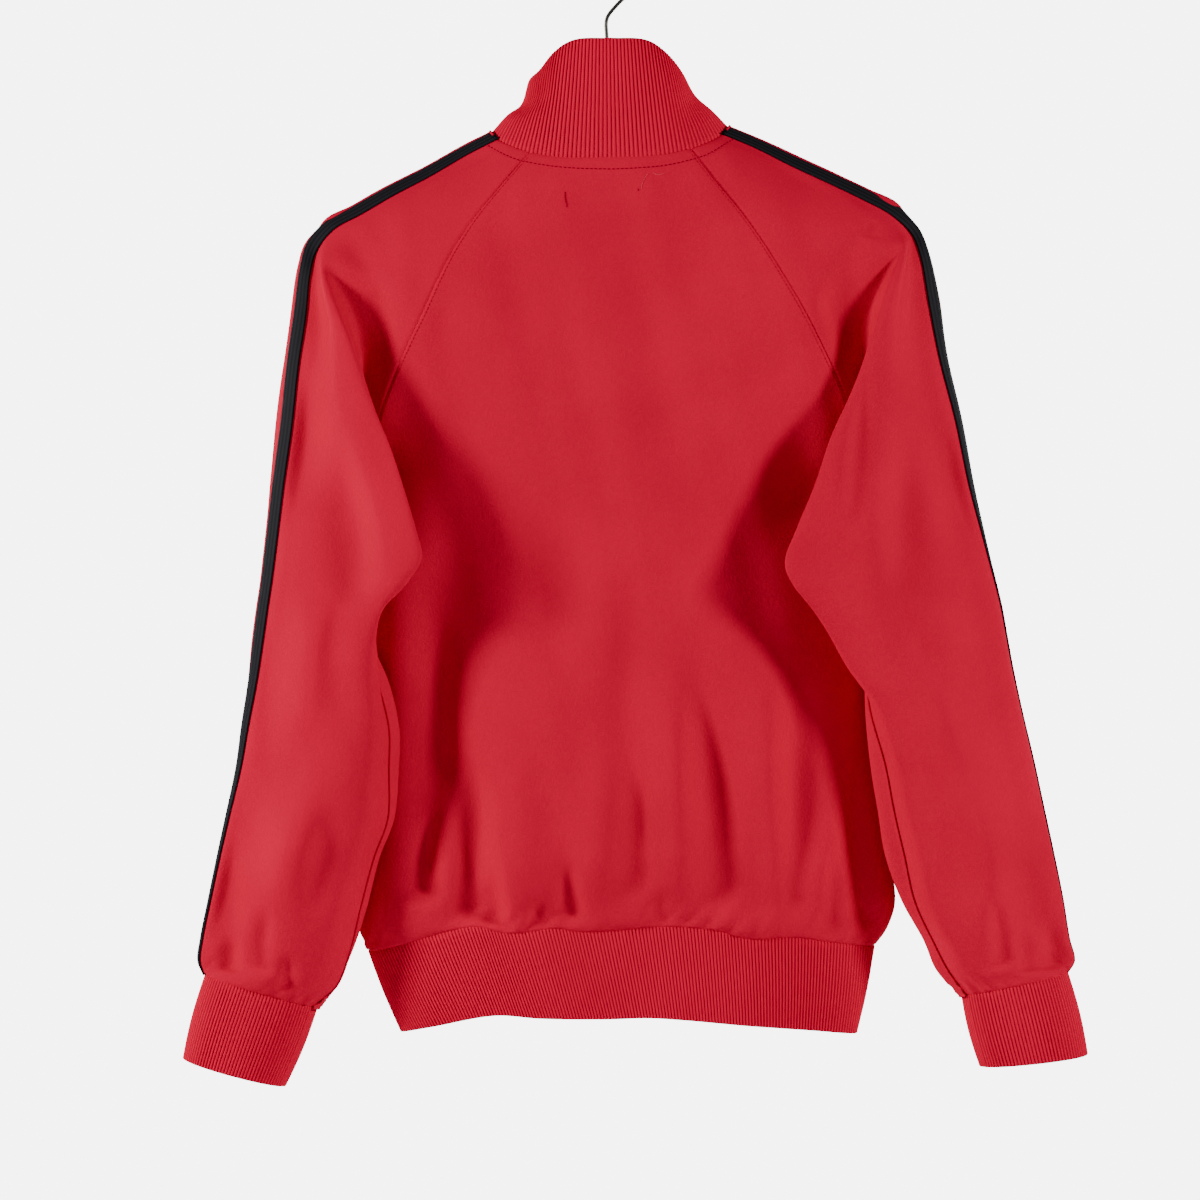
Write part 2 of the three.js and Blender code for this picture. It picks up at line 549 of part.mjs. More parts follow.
// Rows of a torso panel between two angles; the fronts run from the zip to the side
function torsoPanel(side, from, to, columns) {
  const isBack = side === 'back';
  const troughs = isBack ? backTroughs : frontTroughs;
  const seam = isBack ? 'back' : 'front';
  const isLeft = side === 'left';
  const grid = [];
  const zipAngle = (end) => Math.asin((zipHalfWidth / Math.abs(end.x)) ** (torsoPower / 2)) / degrees;
  const addRow = (ends, middle, seamShare) => {
    const start = isBack ? from : Math.sign(from) * (180 - zipAngle(isLeft ? ends.left : ends.right));
    const row = spaced(torsoLine(start, to, ends, middle), columns);
    row.slice(1, -1).forEach((p) => {
      const depth = troughDepth(troughs, p, seamShare);
      p.y -= Math.sign(middle.y) * depth * Math.min(1, Math.abs(p.y) / troughFade.side);
    });
    grid.push(row);
  };
  const zipAtNeck = 180 - Math.asin(zipHalfWidth / neckHalfWidth) / degrees;
  const neckFrom = isBack ? -backCorner : Math.sign(from) * zipAtNeck;
  const neckTo = isBack ? backCorner : Math.sign(from) * frontCorner;
  const neckAngle = (i) => mix(neckFrom, neckTo, i / fineSteps);
  const neckLine = Array.from({ length: fineSteps + 1 }, (_, i) => neckPoint(neckAngle(i)));
  grid.push(spaced(neckLine, columns));
  const neckMiddle = neckPoint(isBack ? 0 : 180);
  for (let k = 1; k < upperRows; k += 1) {
    const ends = { left: stations.left[seam][k].clone(), right: stations.right[seam][k].clone() };
    if (k === upperRows - 1) {
      ends.left.x -= seamGap * 2;
      ends.right.x += seamGap * 2;
    }
    const share = (ends.left.z + ends.right.z - 2 * neckMiddle.z) / (2 * (armpitZ - neckMiddle.z));
    const rise = Math.max(share, middleRise.least) ** middleRise.power;
    const middleY = mix(neckMiddle.y, torso[0][seam], rise);
    const middleZ = mix(neckMiddle.z, armpitZ, Math.max(share, middleRise.perRow * k));
    addRow(ends, point(0, middleY, middleZ), 1);
  }
  torsoRows.forEach((share) => {
    const z = mix(armpitZ, hemSideZ, share);
    const end = (name) => point(sides[name] * read(torso, 'z', name, z), 0, z);
    const middle = point(0, read(torso, 'z', seam, z), z);
    const seamShare = mix(1, troughFade.atSeam, share ** troughFade.seamPower);
    addRow({ left: end('left'), right: end('right') }, middle, seamShare);
    grid.at(-1).forEach((p) => { p.z = mix(armpitZ, hemSeamZ(p.x), share); });
  });
  return grid;
}

// Sleeve sections as twelve named places, joined by a smooth curve
const finePerPlace = 24;
const edgePlace = 5;

function smoothLine(places) {
  const curve = new THREE.CatmullRomCurve3(places, false, 'centripetal');
  return curve.getPoints((places.length - 1) * finePerPlace);
}

// Over the shoulder the cloth falls from the top line to both raglan seams
const shoulderSlack = 45;
const crown = { share: 0.06, depth: 7.2, drop: 5.2 };
const shoulderFalls = { back: [0.72, 0.46, 0.24], front: [0.2, 0.4, 0.6, 0.8] };

function shoulderPlaces(row, back, front, sign) {
  const edge = point(sign * row.edgeX, 0, row.edgeZ);
  const fall = (seam, share) => {
    const p = edge.clone().lerp(seam, share);
    const reach = edge.distanceTo(seam);
    p.y = seam.y * (1 - Math.exp(-share * reach / shoulderSlack));
    p.y /= 1 - Math.exp(-reach / shoulderSlack);
    return p;
  };
  const beside = (seam) => {
    const p = edge.clone().lerp(seam, crown.share);
    p.y = Math.sign(seam.y) * crown.depth;
    p.z = edge.z - crown.drop;
    return p;
  };
  const falls = (seam, shares) => shares.map((share) => fall(seam, share));
  return [back, ...falls(back, shoulderFalls.back), beside(back), edge, beside(front),
    ...falls(front, shoulderFalls.front), front];
}

// Below the shoulder the cloth runs from the seam into a valley, over the fold, round the outer
// edge and back along the front. Shares here are of the sleeve's depth, of its width in from the
// edge and of the way down from the edge to the seam.
const armBack = { edgeDepth: 0.6, outerDepth: 0.45, outerReach: 2 * tapeWidth, belly: 0.42 };
const armFront = {
  outer: { depth: 0.6, across: 0.22, down: 0.12 },
  belly: { depth: 1, across: 0.62, down: 0.4 },
  inner: { depth: 0.94, down: 0.66, sideGap: 7, capShare: 0.62 },
  side: { down: 0.85, capShare: 0.4 },
  turn: { down: 0.95, capShare: 0.7 },
};

function armPlaces(row, back, front, sign) {
  const middle = mix(row.front, row.back, armBack.edgeDepth);
  const width = row.edgeX - row.foldX;
  const capX = mix(row.edgeX, Math.abs(front.x), armFront.inner.capShare);
  const frontInnerX = row.sideX ? row.sideX + armFront.inner.sideGap : capX;
  const frontWidth = row.edgeX - frontInnerX;
  const z = (x) => mix(row.edgeZ, row.foldZ, THREE.MathUtils.clamp((row.edgeX - x) / width, 0, 1));
  const at = (x, y, height) => point(sign * x, y, height);
  const valley = at(row.valleyX, row.valleyY, mix(back.z, row.foldZ, 0.5));
  const fold = at(row.foldX, row.foldY, row.foldZ);
  const outerBackX = row.edgeX - Math.min(width / 2, armBack.outerReach);
  const outerBack = at(outerBackX, mix(middle, row.back, armBack.outerDepth), z(outerBackX));
  const bellyX = mix(outerBackX, row.foldX, armBack.belly);
  const belly = at(bellyX, row.back, z(bellyX));
  const edge = at(row.edgeX, middle, row.edgeZ);
  const frontZ = (share) => mix(row.edgeZ, front.z, share);
  const onFront = ({ depth, across, down }) => (
    at(row.edgeX - across * frontWidth, mix(middle, row.front, depth), frontZ(down)));
  const outerFront = onFront(armFront.outer);
  const frontBelly = onFront(armFront.belly);
  const frontInner = at(frontInnerX, row.front * armFront.inner.depth, frontZ(armFront.inner.down));
  const inward = ({ down, capShare }, x, y) => (
    row.sideX ? at(x, y, frontZ(down)) : frontInner.clone().lerp(front, capShare));
  const side = inward(armFront.side, row.sideX, row.sideY);
  const turn = inward(armFront.turn, row.turnX, row.turnY);
  return [back, valley, fold, belly, outerBack, edge, outerFront, frontBelly, frontInner, side, turn, front];
}

// The cuff seam and the cuff's open end are ovals that lean with the sleeve
const cuffAngles = [155, 140, 118, 80, 40, 0, -45, -90, -125, -155, -180, -205];

function cuffPlaces(side, end) {
  const cuff = cuffs[side];
  const outer = point(cuff[`${end}OuterX`], cuffMiddleY, cuff[`${end}OuterZ`]);
  const inner = point(cuff[`${end}InnerX`], cuffMiddleY, cuff[`${end}InnerZ`]);
  return cuffAngles.map((angle) => {
    const p = inner.clone().lerp(outer, (1 + Math.cos(angle * degrees)) / 2);
    p.y += cuffHalfDepth * Math.sin(angle * degrees);
    p.x *= sides[side];
    return p;
  });
}

// Columns of one section: the back half, the tape's three lines and the front half
function sleeveColumns(line, edgeIndex, tapeOffset) {
  const lengths = lengthsOf(line);
  const edgeLength = lengths[edgeIndex];
  const along = (at) => pointAlong(line, lengths, at);
  const tapeBack = edgeLength - tapeOffset - tapeWidth / 2;
  const tapeFront = tapeBack + tapeWidth;
  const frontShare = (lengths.at(-1) - tapeFront) / (lengths.at(-1) - edgeLength);
  const columns = [];
  for (let j = 0; j <= backCount; j += 1) {
    const fine = lengths[Math.round(edgeIndex * j / backCount)];
    columns.push(along(fine * tapeBack / edgeLength));
  }
  columns.push(along(tapeBack + tapeWidth / 2));
  frontPlaces.forEach((at) => {
    const fine = lengths[Math.round(mix(edgeIndex, line.length - 1, at / frontPlaces.at(-1)))];
    columns.push(along(tapeFront + (fine - edgeLength) * frontShare));
  });
  return columns;
}

const splitColumn = backCount + 1;

function sleeveGrid(side) {
  const sign = sides[side];
  const { shoulder, cap, arm } = sleeveRows[side];
  const { back, front } = stations[side];
  const neckSteps = 144;
  const neckAngle = (share) => sign * mix(backCorner, frontCorner, share);
  const neckLine = Array.from({ length: neckSteps + 1 }, (_, i) => neckPoint(neckAngle(i / neckSteps)));
  const neckEdge = (neckTapeAngle - backCorner) / (frontCorner - backCorner);
  const grid = [sleeveColumns(neckLine, Math.round(neckEdge * neckSteps), 0)];
  const addRow = (places, tapeOffset) => {
    grid.push(sleeveColumns(smoothLine(places), edgePlace * finePerPlace, tapeOffset));
  };
  shoulder.forEach((row, k) => addRow(shoulderPlaces(row, back[k + 1], front[k + 1], sign), shoulderTape));
  cap.forEach((row, k) => {
    const station = shoulder.length + k + 1;
    addRow(armPlaces(row, back[station], front[station], sign), row.tape);
  });
  arm.forEach((row, k) => {
    const seam = point(sign * row.seamX, row.seamY, row.seamZ);
    if (k === 0) seam.x += sign * seamGap * 2;
    addRow(armPlaces(row, seam, seam.clone(), sign), row.tape);
  });
  addRow(cuffPlaces(side, 'seam'), cuffs[side].tape);
  return grid;
}

const grids = {
  back: torsoPanel('back', -90, 90, backColumns),
  frontLeft: torsoPanel('left', 180, 90, frontColumns),
  frontRight: torsoPanel('right', -180, -90, frontColumns),
  left: sleeveGrid('left'),
  right: sleeveGrid('right'),
};
const normals = {
  back: gridNormals(grids.back, point(0, 1, 0)),
  frontLeft: gridNormals(grids.frontLeft, point(0, -1, 0)),
  frontRight: gridNormals(grids.frontRight, point(0, -1, 0)),
  left: gridNormals(grids.left, point(1, 0.5, 0)),
  right: gridNormals(grids.right, point(-1, 0.5, 0)),
};

// Neighbours share one normal along each seam, so that their walls end side by side
const raglanRows = (edge) => edge.slice(1, upperRows - 1);
const first = (name) => normals[name].map((row) => row[0]);
const last = (name) => normals[name].map((row) => row.at(-1));
shareNormals(raglanRows(last('back')), raglanRows(first('left')));
shareNormals(raglanRows(first('back')), raglanRows(first('right')));
shareNormals(raglanRows(last('frontLeft')), raglanRows(last('left')));
shareNormals(raglanRows(last('frontRight')), raglanRows(last('right')));
shareNormals(first('left').slice(upperRows), last('left').slice(upperRows));
shareNormals(first('right').slice(upperRows), last('right').slice(upperRows));
Object.keys(grids).forEach((name) => {
  normals[name][0].forEach((n, c) => n.copy(neckNormal(grids[name][0][c])));
});
['back', 'frontLeft', 'frontRight'].forEach((name) => {
  normals[name].at(-1).forEach((n) => n.setZ(0).normalize());
});
const torsoSides = [[last('back'), 1], [last('frontLeft'), 1], [first('back'), -1], [last('frontRight'), -1]];
torsoSides.forEach(([edge, sign]) => edge.slice(upperRows).forEach((n) => n.set(sign, 0, 0)));
[last('back'), first('back'), last('frontLeft'), last('frontRight'), first('left'), last('left'),
  first('right'), last('right')].forEach((edge) => edge[upperRows - 1].set(0, 0, -1));

const materials = {
  knit: { color: 0xdc263a, roughness: 0.82, metalness: 0 },
  rib: { color: 0xd62238, roughness: 0.86, metalness: 0 },
  tape: { color: 0x1c1a22, roughness: 0.7, metalness: 0 },
  zipCloth: { color: 0xd62238, roughness: 0.8, metalness: 0 },
  metal: { color: 0xd9dadc, roughness: 0.3, metalness: 1 },
  bar: { color: 0x2b2a28, roughness: 0.45, metalness: 0 },
  wire: { color: 0x2f302a, roughness: 0.4, metalness: 0.8 },
};
const jacket = new THREE.Group();

function add(name, geometry, finish) {
  const mesh = new THREE.Mesh(geometry, new THREE.MeshStandardMaterial(materials[finish]));
  mesh.name = name;
  jacket.add(mesh);
  return mesh;
}

function addPanels() {
  const all = ['top', 'bottom', 'first', 'last'];
  add('back', clothWall(grids.back, normals.back, clothThickness, all), 'knit');
  add('front_left', clothWall(grids.frontLeft, normals.frontLeft, clothThickness, all), 'knit');
  add('front_right', clothWall(grids.frontRight, normals.frontRight, clothThickness, all), 'knit');
  const columns = (grid, from, to) => grid.map((row) => row.slice(from, to));
  ['left', 'right'].forEach((side) => {
    const [grid, n] = [grids[side], normals[side]];
    const halves = { back: [0, splitColumn + 1], front: [splitColumn, undefined] };
    Object.entries(halves).forEach(([half, [from, to]]) => {
      const geometry = clothWall(columns(grid, from, to), columns(n, from, to), clothThickness, all);
      add(`sleeve_${half}_${side}`, geometry, 'knit');
    });
    const [from, to] = [splitColumn - 1, splitColumn + 2];
    const tapeNormals = columns(n, from, to);
    const lift = seamGap + tapeThickness;
    const tape = columns(grid, from, to).map((row, r) => row.map((p, c) => (
      p.clone().addScaledVector(tapeNormals[r][c], lift))));
    add(`tape_${side}`, clothWall(tape, tapeNormals, tapeThickness, ['top', 'bottom']), 'tape');
  });
}

// A line of points through several edges that follow on from each other
const chain = (...lines) => lines.flatMap((line, i) => (i ? line.slice(1) : line));

const level = (p, n) => n.clone().setZ(0).normalize();
const own = (p, n) => n.clone();

function addRibs() {
  const neckLine = chain(grids.frontLeft[0], grids.left[0].toReversed(), grids.back[0].toReversed(),
    grids.right[0], grids.frontRight[0].toReversed());
  const zipAngle = (halfWidth) => 180 - Math.asin(zipHalfWidth / halfWidth) / degrees;
  const steps = 120;
  const collarAngle = zipAngle(collarTopWidth);
  const topPoint = (angle) => (
    ringPoint(angle, collarTopWidth, collarTopBack, collarTopFront, collarTopHeights, 0));
  const collarTop = Array.from({ length: steps + 1 }, (_, i) => (
    topPoint(mix(collarAngle, -collarAngle, i / steps))));
  const backwards = point(0, 1, 0);
  add('collar', ribWall(collarTop, neckLine, {
    rows: collarRows,
    swell: 0,
    hint: backwards,
    isRound: false,
    held: 'bottom',
    seamNormal: neckNormal,
  }), 'rib');
  const hemTop = chain(grids.frontLeft.at(-1), grids.back.at(-1).toReversed(),
    grids.frontRight.at(-1).toReversed());
  const hemAngle = (width) => 180 - Math.asin((zipHalfWidth / width) ** (torsoPower / 2)) / degrees;
  const [hemLeft, hemRight] = [hemAngle(hemEdgeWidths.left), -hemAngle(hemEdgeWidths.right)];
  const hemEnd = Array.from({ length: steps * 2 + 1 }, (_, i) => {
    const turn = mix(hemLeft, hemRight, i / steps / 2) * degrees;
    const width = Math.sin(turn) > 0 ? hemEdgeWidths.left : -hemEdgeWidths.right;
    const x = width * Math.abs(Math.sin(turn)) ** (2 / torsoPower);
    const depth = Math.cos(turn) > 0 ? hemEdgeWidths.back : -hemEdgeWidths.front;
    return point(x, depth * Math.cos(turn), read(hemEdge, 'x', 'z', x));
  });
  add('hem_rib', ribWall(hemTop, hemEnd, {
    rows: hemRows,
    swell: ribSwell,
    hint: backwards,
    isRound: false,
    held: 'top',
    seamNormal: level,
  }), 'rib');
  ['left', 'right'].forEach((side) => {
    const seam = grids[side].at(-1);
    const end = smoothLine(cuffPlaces(side, 'end'));
    const closed = (line) => [...line.slice(0, -1), line[0].clone()];
    add(`cuff_${side}`, ribWall(closed(seam), closed(end), {
      rows: cuffRows,
      swell: ribSwell,
      hint: point(sides[side], 0, 0),
      isRound: true,
      held: 'top',
      seamNormal: own,
    }), 'rib');
  });
}

// Solids that are joined or cut
function toSolid(geometry) {
  const bare = geometry.index ? geometry.clone() : geometry;
  bare.deleteAttribute('normal');
  bare.deleteAttribute('uv');
  const merged = mergeVertices(bare, 1e-4);
  return new wasm.Manifold(new wasm.Mesh({
    numProp: 3,
    vertProperties: merged.attributes.position.array,
    triVerts: new Uint32Array(merged.index.array),
  }));
}

function toGeometry(solid) {
  const { vertProperties, triVerts } = solid.getMesh();
  const geometry = new THREE.BufferGeometry();
  geometry.setAttribute('position', new THREE.BufferAttribute(vertProperties, 3));
  geometry.setIndex([...triVerts]);
  geometry.computeVertexNormals();
  return geometry;
}

// The zip's middle line down the front, from its top to its bottom
function zipLine() {
  const front = grids.frontLeft.map((row) => point(0, row[0].y, row[0].z));
  const hemY = hemEdgeWidths.front;
  return [point(0, -collarTopFront, zipTop), ...front, point(0, hemY, zipBottom + stopHeight)];
}

function cylinderAcross(radius, length, y, z, sidesCount) {
  const geometry = new THREE.CylinderGeometry(radius, radius, length, sidesCount);
  return geometry.rotateZ(Math.PI / 2).translate(0, y, z);
}

function block(x, y, z) {
  const [low, high] = [point(x[0], y[0], z[0]), point(x[1], y[1], z[1])];
  const size = high.clone().sub(low);
  const middle = low.add(high).multiplyScalar(0.5);
  return new THREE.BoxGeometry(size.x, size.y, size.z).translate(middle.x, middle.y, middle.z);
}

function addZip() {
  const line = zipLine();
  ['left', 'right'].forEach((side) => {
    const sign = sides[side];
    const columns = [zipHalfWidth - seamGap, chainHalfWidth + seamGap];
    const grid = line.map((p) => columns.map((x) => point(sign * x, p.y, p.z)));
    const n = gridNormals(grid, point(0, -1, 0));
    add(`zip_tape_${side}`, clothWall(grid, n, zipTapeThickness, ['bottom']), 'zipCloth');
  });
  const front = chainHalfDepth - zipTapeThickness / 2;
  const chainGrid = line.map((p) => [-1, 1].map((x) => point(x * chainHalfWidth, p.y - front, p.z)));
  const n = gridNormals(chainGrid, point(0, -1, 0));
  add('zip_chain', clothWall(chainGrid, n, 2 * chainHalfDepth, ['bottom']), 'metal');
  const boxY = line.at(-1).y;
  add('zip_stop', block([-stop.halfWidth, stop.halfWidth], [boxY - stop.ahead, boxY + stop.behind],
    [zipBottom, zipBottom + stopHeight - seamGap]), 'metal');
  addSlider(-collarTopFront + zipTapeThickness / 2);
}

// The slider wraps the top of the chain; its pull hangs from a pin between two ears
const pin = { y: -54.9, z: -138, radius: 0.7, earRadius: 1.7, eyeRadius: 1.9, hole: 1.05 };
const earInner = 1.7;
const earOuter = 2.8;

function addSlider(chainY) {
  const slot = chainHalfDepth + seamGap;
  const outside = slot + plateThickness;
  const [low, slotTop, top] = [zipTop - sliderHeight, zipTop + sliderTop.slot, zipTop + sliderTop.body];
  const profile = new THREE.Shape([
    [chainY - outside, low],
    [chainY - slot, low],
    [chainY - slot, slotTop],
    [chainY + slot, slotTop],
    [chainY + slot, low],
    [chainY + outside, low],
    [chainY + outside, top],
    [chainY - outside, top],
  ].map(([y, z]) => new THREE.Vector2(y, z)));
  const body = new THREE.ExtrudeGeometry(profile, { depth: sliderHalfWidth * 2, bevelEnabled: false });
  // The shape's x and y become the jacket's y and z, and its depth runs along x
  body.applyMatrix4(new THREE.Matrix4().set(0, 0, 1, -sliderHalfWidth, 1, 0, 0, 0, 0, 1, 0, 0, 0, 0, 0, 1));
  let slider = toSolid(body);
  const earWidth = earOuter - earInner;
  [-1, 1].forEach((sign) => {
    const middle = sign * (earInner + earOuter) / 2;
    const round = cylinderAcross(pin.earRadius, earWidth, pin.y, pin.z, 14).translate(middle, 0, 0);
    const foot = block([middle - earWidth / 2, middle + earWidth / 2], [pin.y, chainY - outside + overlap],
      [pin.z - pin.earRadius, pin.z + pin.earRadius]);
    slider = slider.add(toSolid(round)).add(toSolid(foot));
  });
  slider = slider.add(toSolid(cylinderAcross(pin.radius, earOuter * 2 - overlap, pin.y, pin.z, 12)));
  add('zip_slider', toGeometry(slider), 'metal');
  const eye = toSolid(cylinderAcross(pin.eyeRadius, (earInner - seamGap) * 2, pin.y, pin.z, 16));
  const flat = [pin.y - pull.halfThickness, pin.y + pull.halfThickness];
  const neckWidth = earInner - seamGap;
  const neck = block([-neckWidth, neckWidth], flat, [pin.z - pull.plateTop - 1, pin.z - pull.neckTop]);
  const plate = block([-pull.halfWidth, pull.halfWidth], flat, [pin.z - pull.length, pin.z - pull.plateTop]);
  const hole = toSolid(cylinderAcross(pin.hole, earOuter * 2, pin.y, pin.z, 16));
  add('zip_pull', toGeometry(eye.add(toSolid(neck)).add(toSolid(plate)).subtract(hole)), 'metal');
}

function circle(radius, count) {
  return new THREE.Shape(Array.from({ length: count }, (_, i) => {
    const angle = i / count * 2 * Math.PI;
    return new THREE.Vector2(radius * Math.cos(angle), radius * Math.sin(angle));
  }));
}

function tube(path, radius, count, steps) {
  return new THREE.ExtrudeGeometry(circle(radius, count), { steps, extrudePath: path, bevelEnabled: false });
}

function addHanger() {
  const neckSides = { left: neckPoint(90), right: neckPoint(-90) };
  const slope = (side) => {
    const line = [neckSides[side], ...sleeveRows[side].shoulder.map((row) => (
      point(sides[side] * row.edgeX, 0, row.edgeZ)))];
    const end = line.at(-1).clone().lerp(line.at(-2), (Math.abs(line.at(-1).x) - barEnd)
      / Math.abs(line.at(-1).x - line.at(-2).x));
    return [...line.slice(0, -1), end].map((p) => point(p.x, 0, p.z - barDrop));
  };
  const arch = barArch.map(({ x, z }) => point(x, 0, z));
  const barPath = new THREE.CatmullRomCurve3([...slope('left').toReversed(), ...arch, ...slope('right')]);
  const drill = new THREE.CylinderGeometry(wireRadius + seamGap, wireRadius + seamGap, 10, 16);
  drill.rotateX(Math.PI / 2).translate(stemX, 0, barCentreZ + 5);
  const bar = toSolid(tube(barPath, barRadius, 10, 16)).subtract(toSolid(drill));
  add('hanger_bar', toGeometry(bar), 'bar');
  const ring = hookRadius + wireRadius;
  const arc = Array.from({ length: hookArc.steps + 1 }, (_, i) => {
    const angle = mix(hookArc.start, hookArc.end, i / hookArc.steps) * degrees;
    return point(ring * Math.cos(angle), 0, ring * Math.sin(angle) - hookRadius);
  });
  const stem = stemHeights.map((z) => point(stemX, 0, z));
  const wirePath = new THREE.CatmullRomCurve3([...stem, point(hookBend.x, 0, hookBend.z), ...arc]);
  add('hanger_hook', tube(wirePath, wireRadius, 8, 30), 'wire');
}

addPanels();
addRibs();
addZip();
addHanger();

export default jacket;
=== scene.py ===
# A red knit track jacket with raglan sleeves, hung on a plain hanger and seen from behind.
# The tables are in millimetres, as a pattern cutter would write them; meshes are made in metres.
import json
import math

import bpy
import numpy as np
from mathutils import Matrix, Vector

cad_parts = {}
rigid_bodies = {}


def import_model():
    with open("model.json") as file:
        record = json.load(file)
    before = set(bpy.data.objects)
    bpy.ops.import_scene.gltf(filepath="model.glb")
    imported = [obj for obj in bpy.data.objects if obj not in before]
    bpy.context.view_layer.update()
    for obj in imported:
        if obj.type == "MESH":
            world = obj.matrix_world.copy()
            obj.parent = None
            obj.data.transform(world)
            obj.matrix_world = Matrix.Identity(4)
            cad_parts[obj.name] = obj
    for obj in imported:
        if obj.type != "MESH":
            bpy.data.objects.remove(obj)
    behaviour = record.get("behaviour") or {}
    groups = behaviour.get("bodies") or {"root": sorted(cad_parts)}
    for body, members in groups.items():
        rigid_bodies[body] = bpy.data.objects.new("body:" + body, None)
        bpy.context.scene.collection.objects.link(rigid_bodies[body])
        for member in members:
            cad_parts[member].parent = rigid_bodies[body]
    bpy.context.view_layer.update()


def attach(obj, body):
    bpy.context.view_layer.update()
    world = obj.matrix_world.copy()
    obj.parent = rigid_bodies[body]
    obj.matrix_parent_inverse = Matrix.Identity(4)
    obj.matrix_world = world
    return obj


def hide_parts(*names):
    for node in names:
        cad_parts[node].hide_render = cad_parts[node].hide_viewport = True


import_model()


def rows_of(columns, rows):
    """A table's rows as dictionaries, by the names of its columns."""
    return [dict(zip(columns.split(), row)) for row in rows]


MM = 0.001
CLOTH_THICKNESS = 1.2
SEAM_GAP = 0.3
TAPE_WIDTH = 11
TAPE_THICKNESS = 0.9
RIB_THICKNESS = 2.6
RIB_PITCH = 2.5
RIB_HEIGHT = 1.0
RIB_SWELL = 1.5
SHOULDER_SLACK = 45
CROWN = dict(share=0.06, depth=7.2, drop=5.2)
SHOULDER_FALLS = dict(back=(0.72, 0.46, 0.24), front=(0.2, 0.4, 0.6, 0.8))
ARM_BACK = dict(edge_depth=0.6, outer_depth=0.45, outer_reach=22, belly=0.42)
ARM_FRONT = dict(
    outer=dict(depth=0.6, across=0.22, down=0.12),
    belly=dict(depth=1, across=0.62, down=0.4),
    inner=dict(depth=0.94, down=0.66, side_gap=7, cap_share=0.62),
    side=dict(down=0.85, cap_share=0.4),
    turn=dict(down=0.95, cap_share=0.7),
)
CUFF_ANGLES = (155, 140, 118, 80, 40, 0, -45, -90, -125, -155, -180, -205)

# Neck seam, an oval that dips to the front
NECK_HALF_WIDTH = 86.5
NECK_BACK_DEPTH = 36
NECK_FRONT_DEPTH = 50
NECK_TILT = 0.022
NECK_FLARE = 0.45
BACK_CORNER = 42.3
FRONT_CORNER = 143.5
NECK_TAPE_ANGLE = 75
SHOULDER_TAPE = 8.5
NECK_HEIGHTS = rows_of("angle z", [
    (0, -154.6), (22, -153.8), (42, -148.7), (65, -139.5), (85, -131.6), (100, -134.2), (120, -148.5),
    (143, -170), (165, -193), (180, -200),
])

# Collar
COLLAR_TOP_WIDTH = 61
COLLAR_TOP_BACK = 37
COLLAR_TOP_FRONT = 50
COLLAR_TOP_HEIGHTS = rows_of("angle z", [
    (0, -68.7), (30, -71), (60, -92), (90, -110), (135, -124), (180, -130),
])

# Torso below the armpits: half widths and depths at each height
ARMPIT_Z = -392
TORSO_POWER = 2.4
ARMHOLE_DEPTH = 38
MIDDLE_RISE = dict(least=0.1, power=0.6, per_row=0.06)
TORSO = rows_of("z left right back front", [
    (-392, 187, 187, 46, -44),
    (-450, 181, 182, 47, -45),
    (-550, 178, 189, 48, -46),
    (-620, 178, 196, 49, -47),
    (-660, 180, 204, 51, -49),
    (-690, 184, 208.5, 52, -50),
    (-712, 184.5, 207, 49, -47),
    (-733, 177, 194, 41, -39),
])
TORSO_ROWS = [0.09, 0.19, 0.29, 0.39, 0.49, 0.59, 0.69, 0.78, 0.85, 0.91, 0.96, 1]
FINE_STEPS = 80

# Raglan seams, from the neck to the armpit: half widths on each side and the depth
RAGLAN_COLUMNS = "z left right y"
RAGLAN_BACK = rows_of(RAGLAN_COLUMNS, [
    (-148, 56.5, 56.5, 26.6),
    (-171, 76, 76, 31),
    (-203, 101.5, 101.5, 35),
    (-233, 119.5, 121, 37.5),
    (-267, 135, 141, 39),
    (-294, 148, 154.5, 39),
    (-327, 161.7, 169.5, 38),
    (-352, 170, 176, 34),
    (-371, 177, 181, 25),
    (-392, 187, 187, 0),
])
RAGLAN_FRONT = rows_of(RAGLAN_COLUMNS, [
    (-168, 50, 50, -40.2),
    (-203, 84, 84, -42),
    (-233, 108, 108, -42),
    (-267, 130, 130, -41),
    (-294, 145, 145, -40),
    (-327, 161, 161, -38),
    (-352, 171, 171, -33),
    (-371, 178, 178, -24),
    (-392, 187, 187, 0),
])

# Hem seam and hem edge across the back; the front repeats them
HEM_SEAM = rows_of("x z", [
    (-189, -729), (-160, -725), (-132, -721), (-101, -722), (-74, -715), (-35, -712.5), (-13, -714.5),
    (20, -716.5), (39, -714), (74, -717.5), (97, -713), (123, -718), (149, -726.5), (173, -733),
])
HEM_EDGE = rows_of("x z", [
    (-180, -793), (-146, -789), (-104, -785), (-35, -779), (3, -779.5), (51, -779), (84, -777.5),
    (130, -786.5), (153, -792),
])
HEM_EDGE_WIDTHS = dict(left=153, right=181, back=37, front=-36)

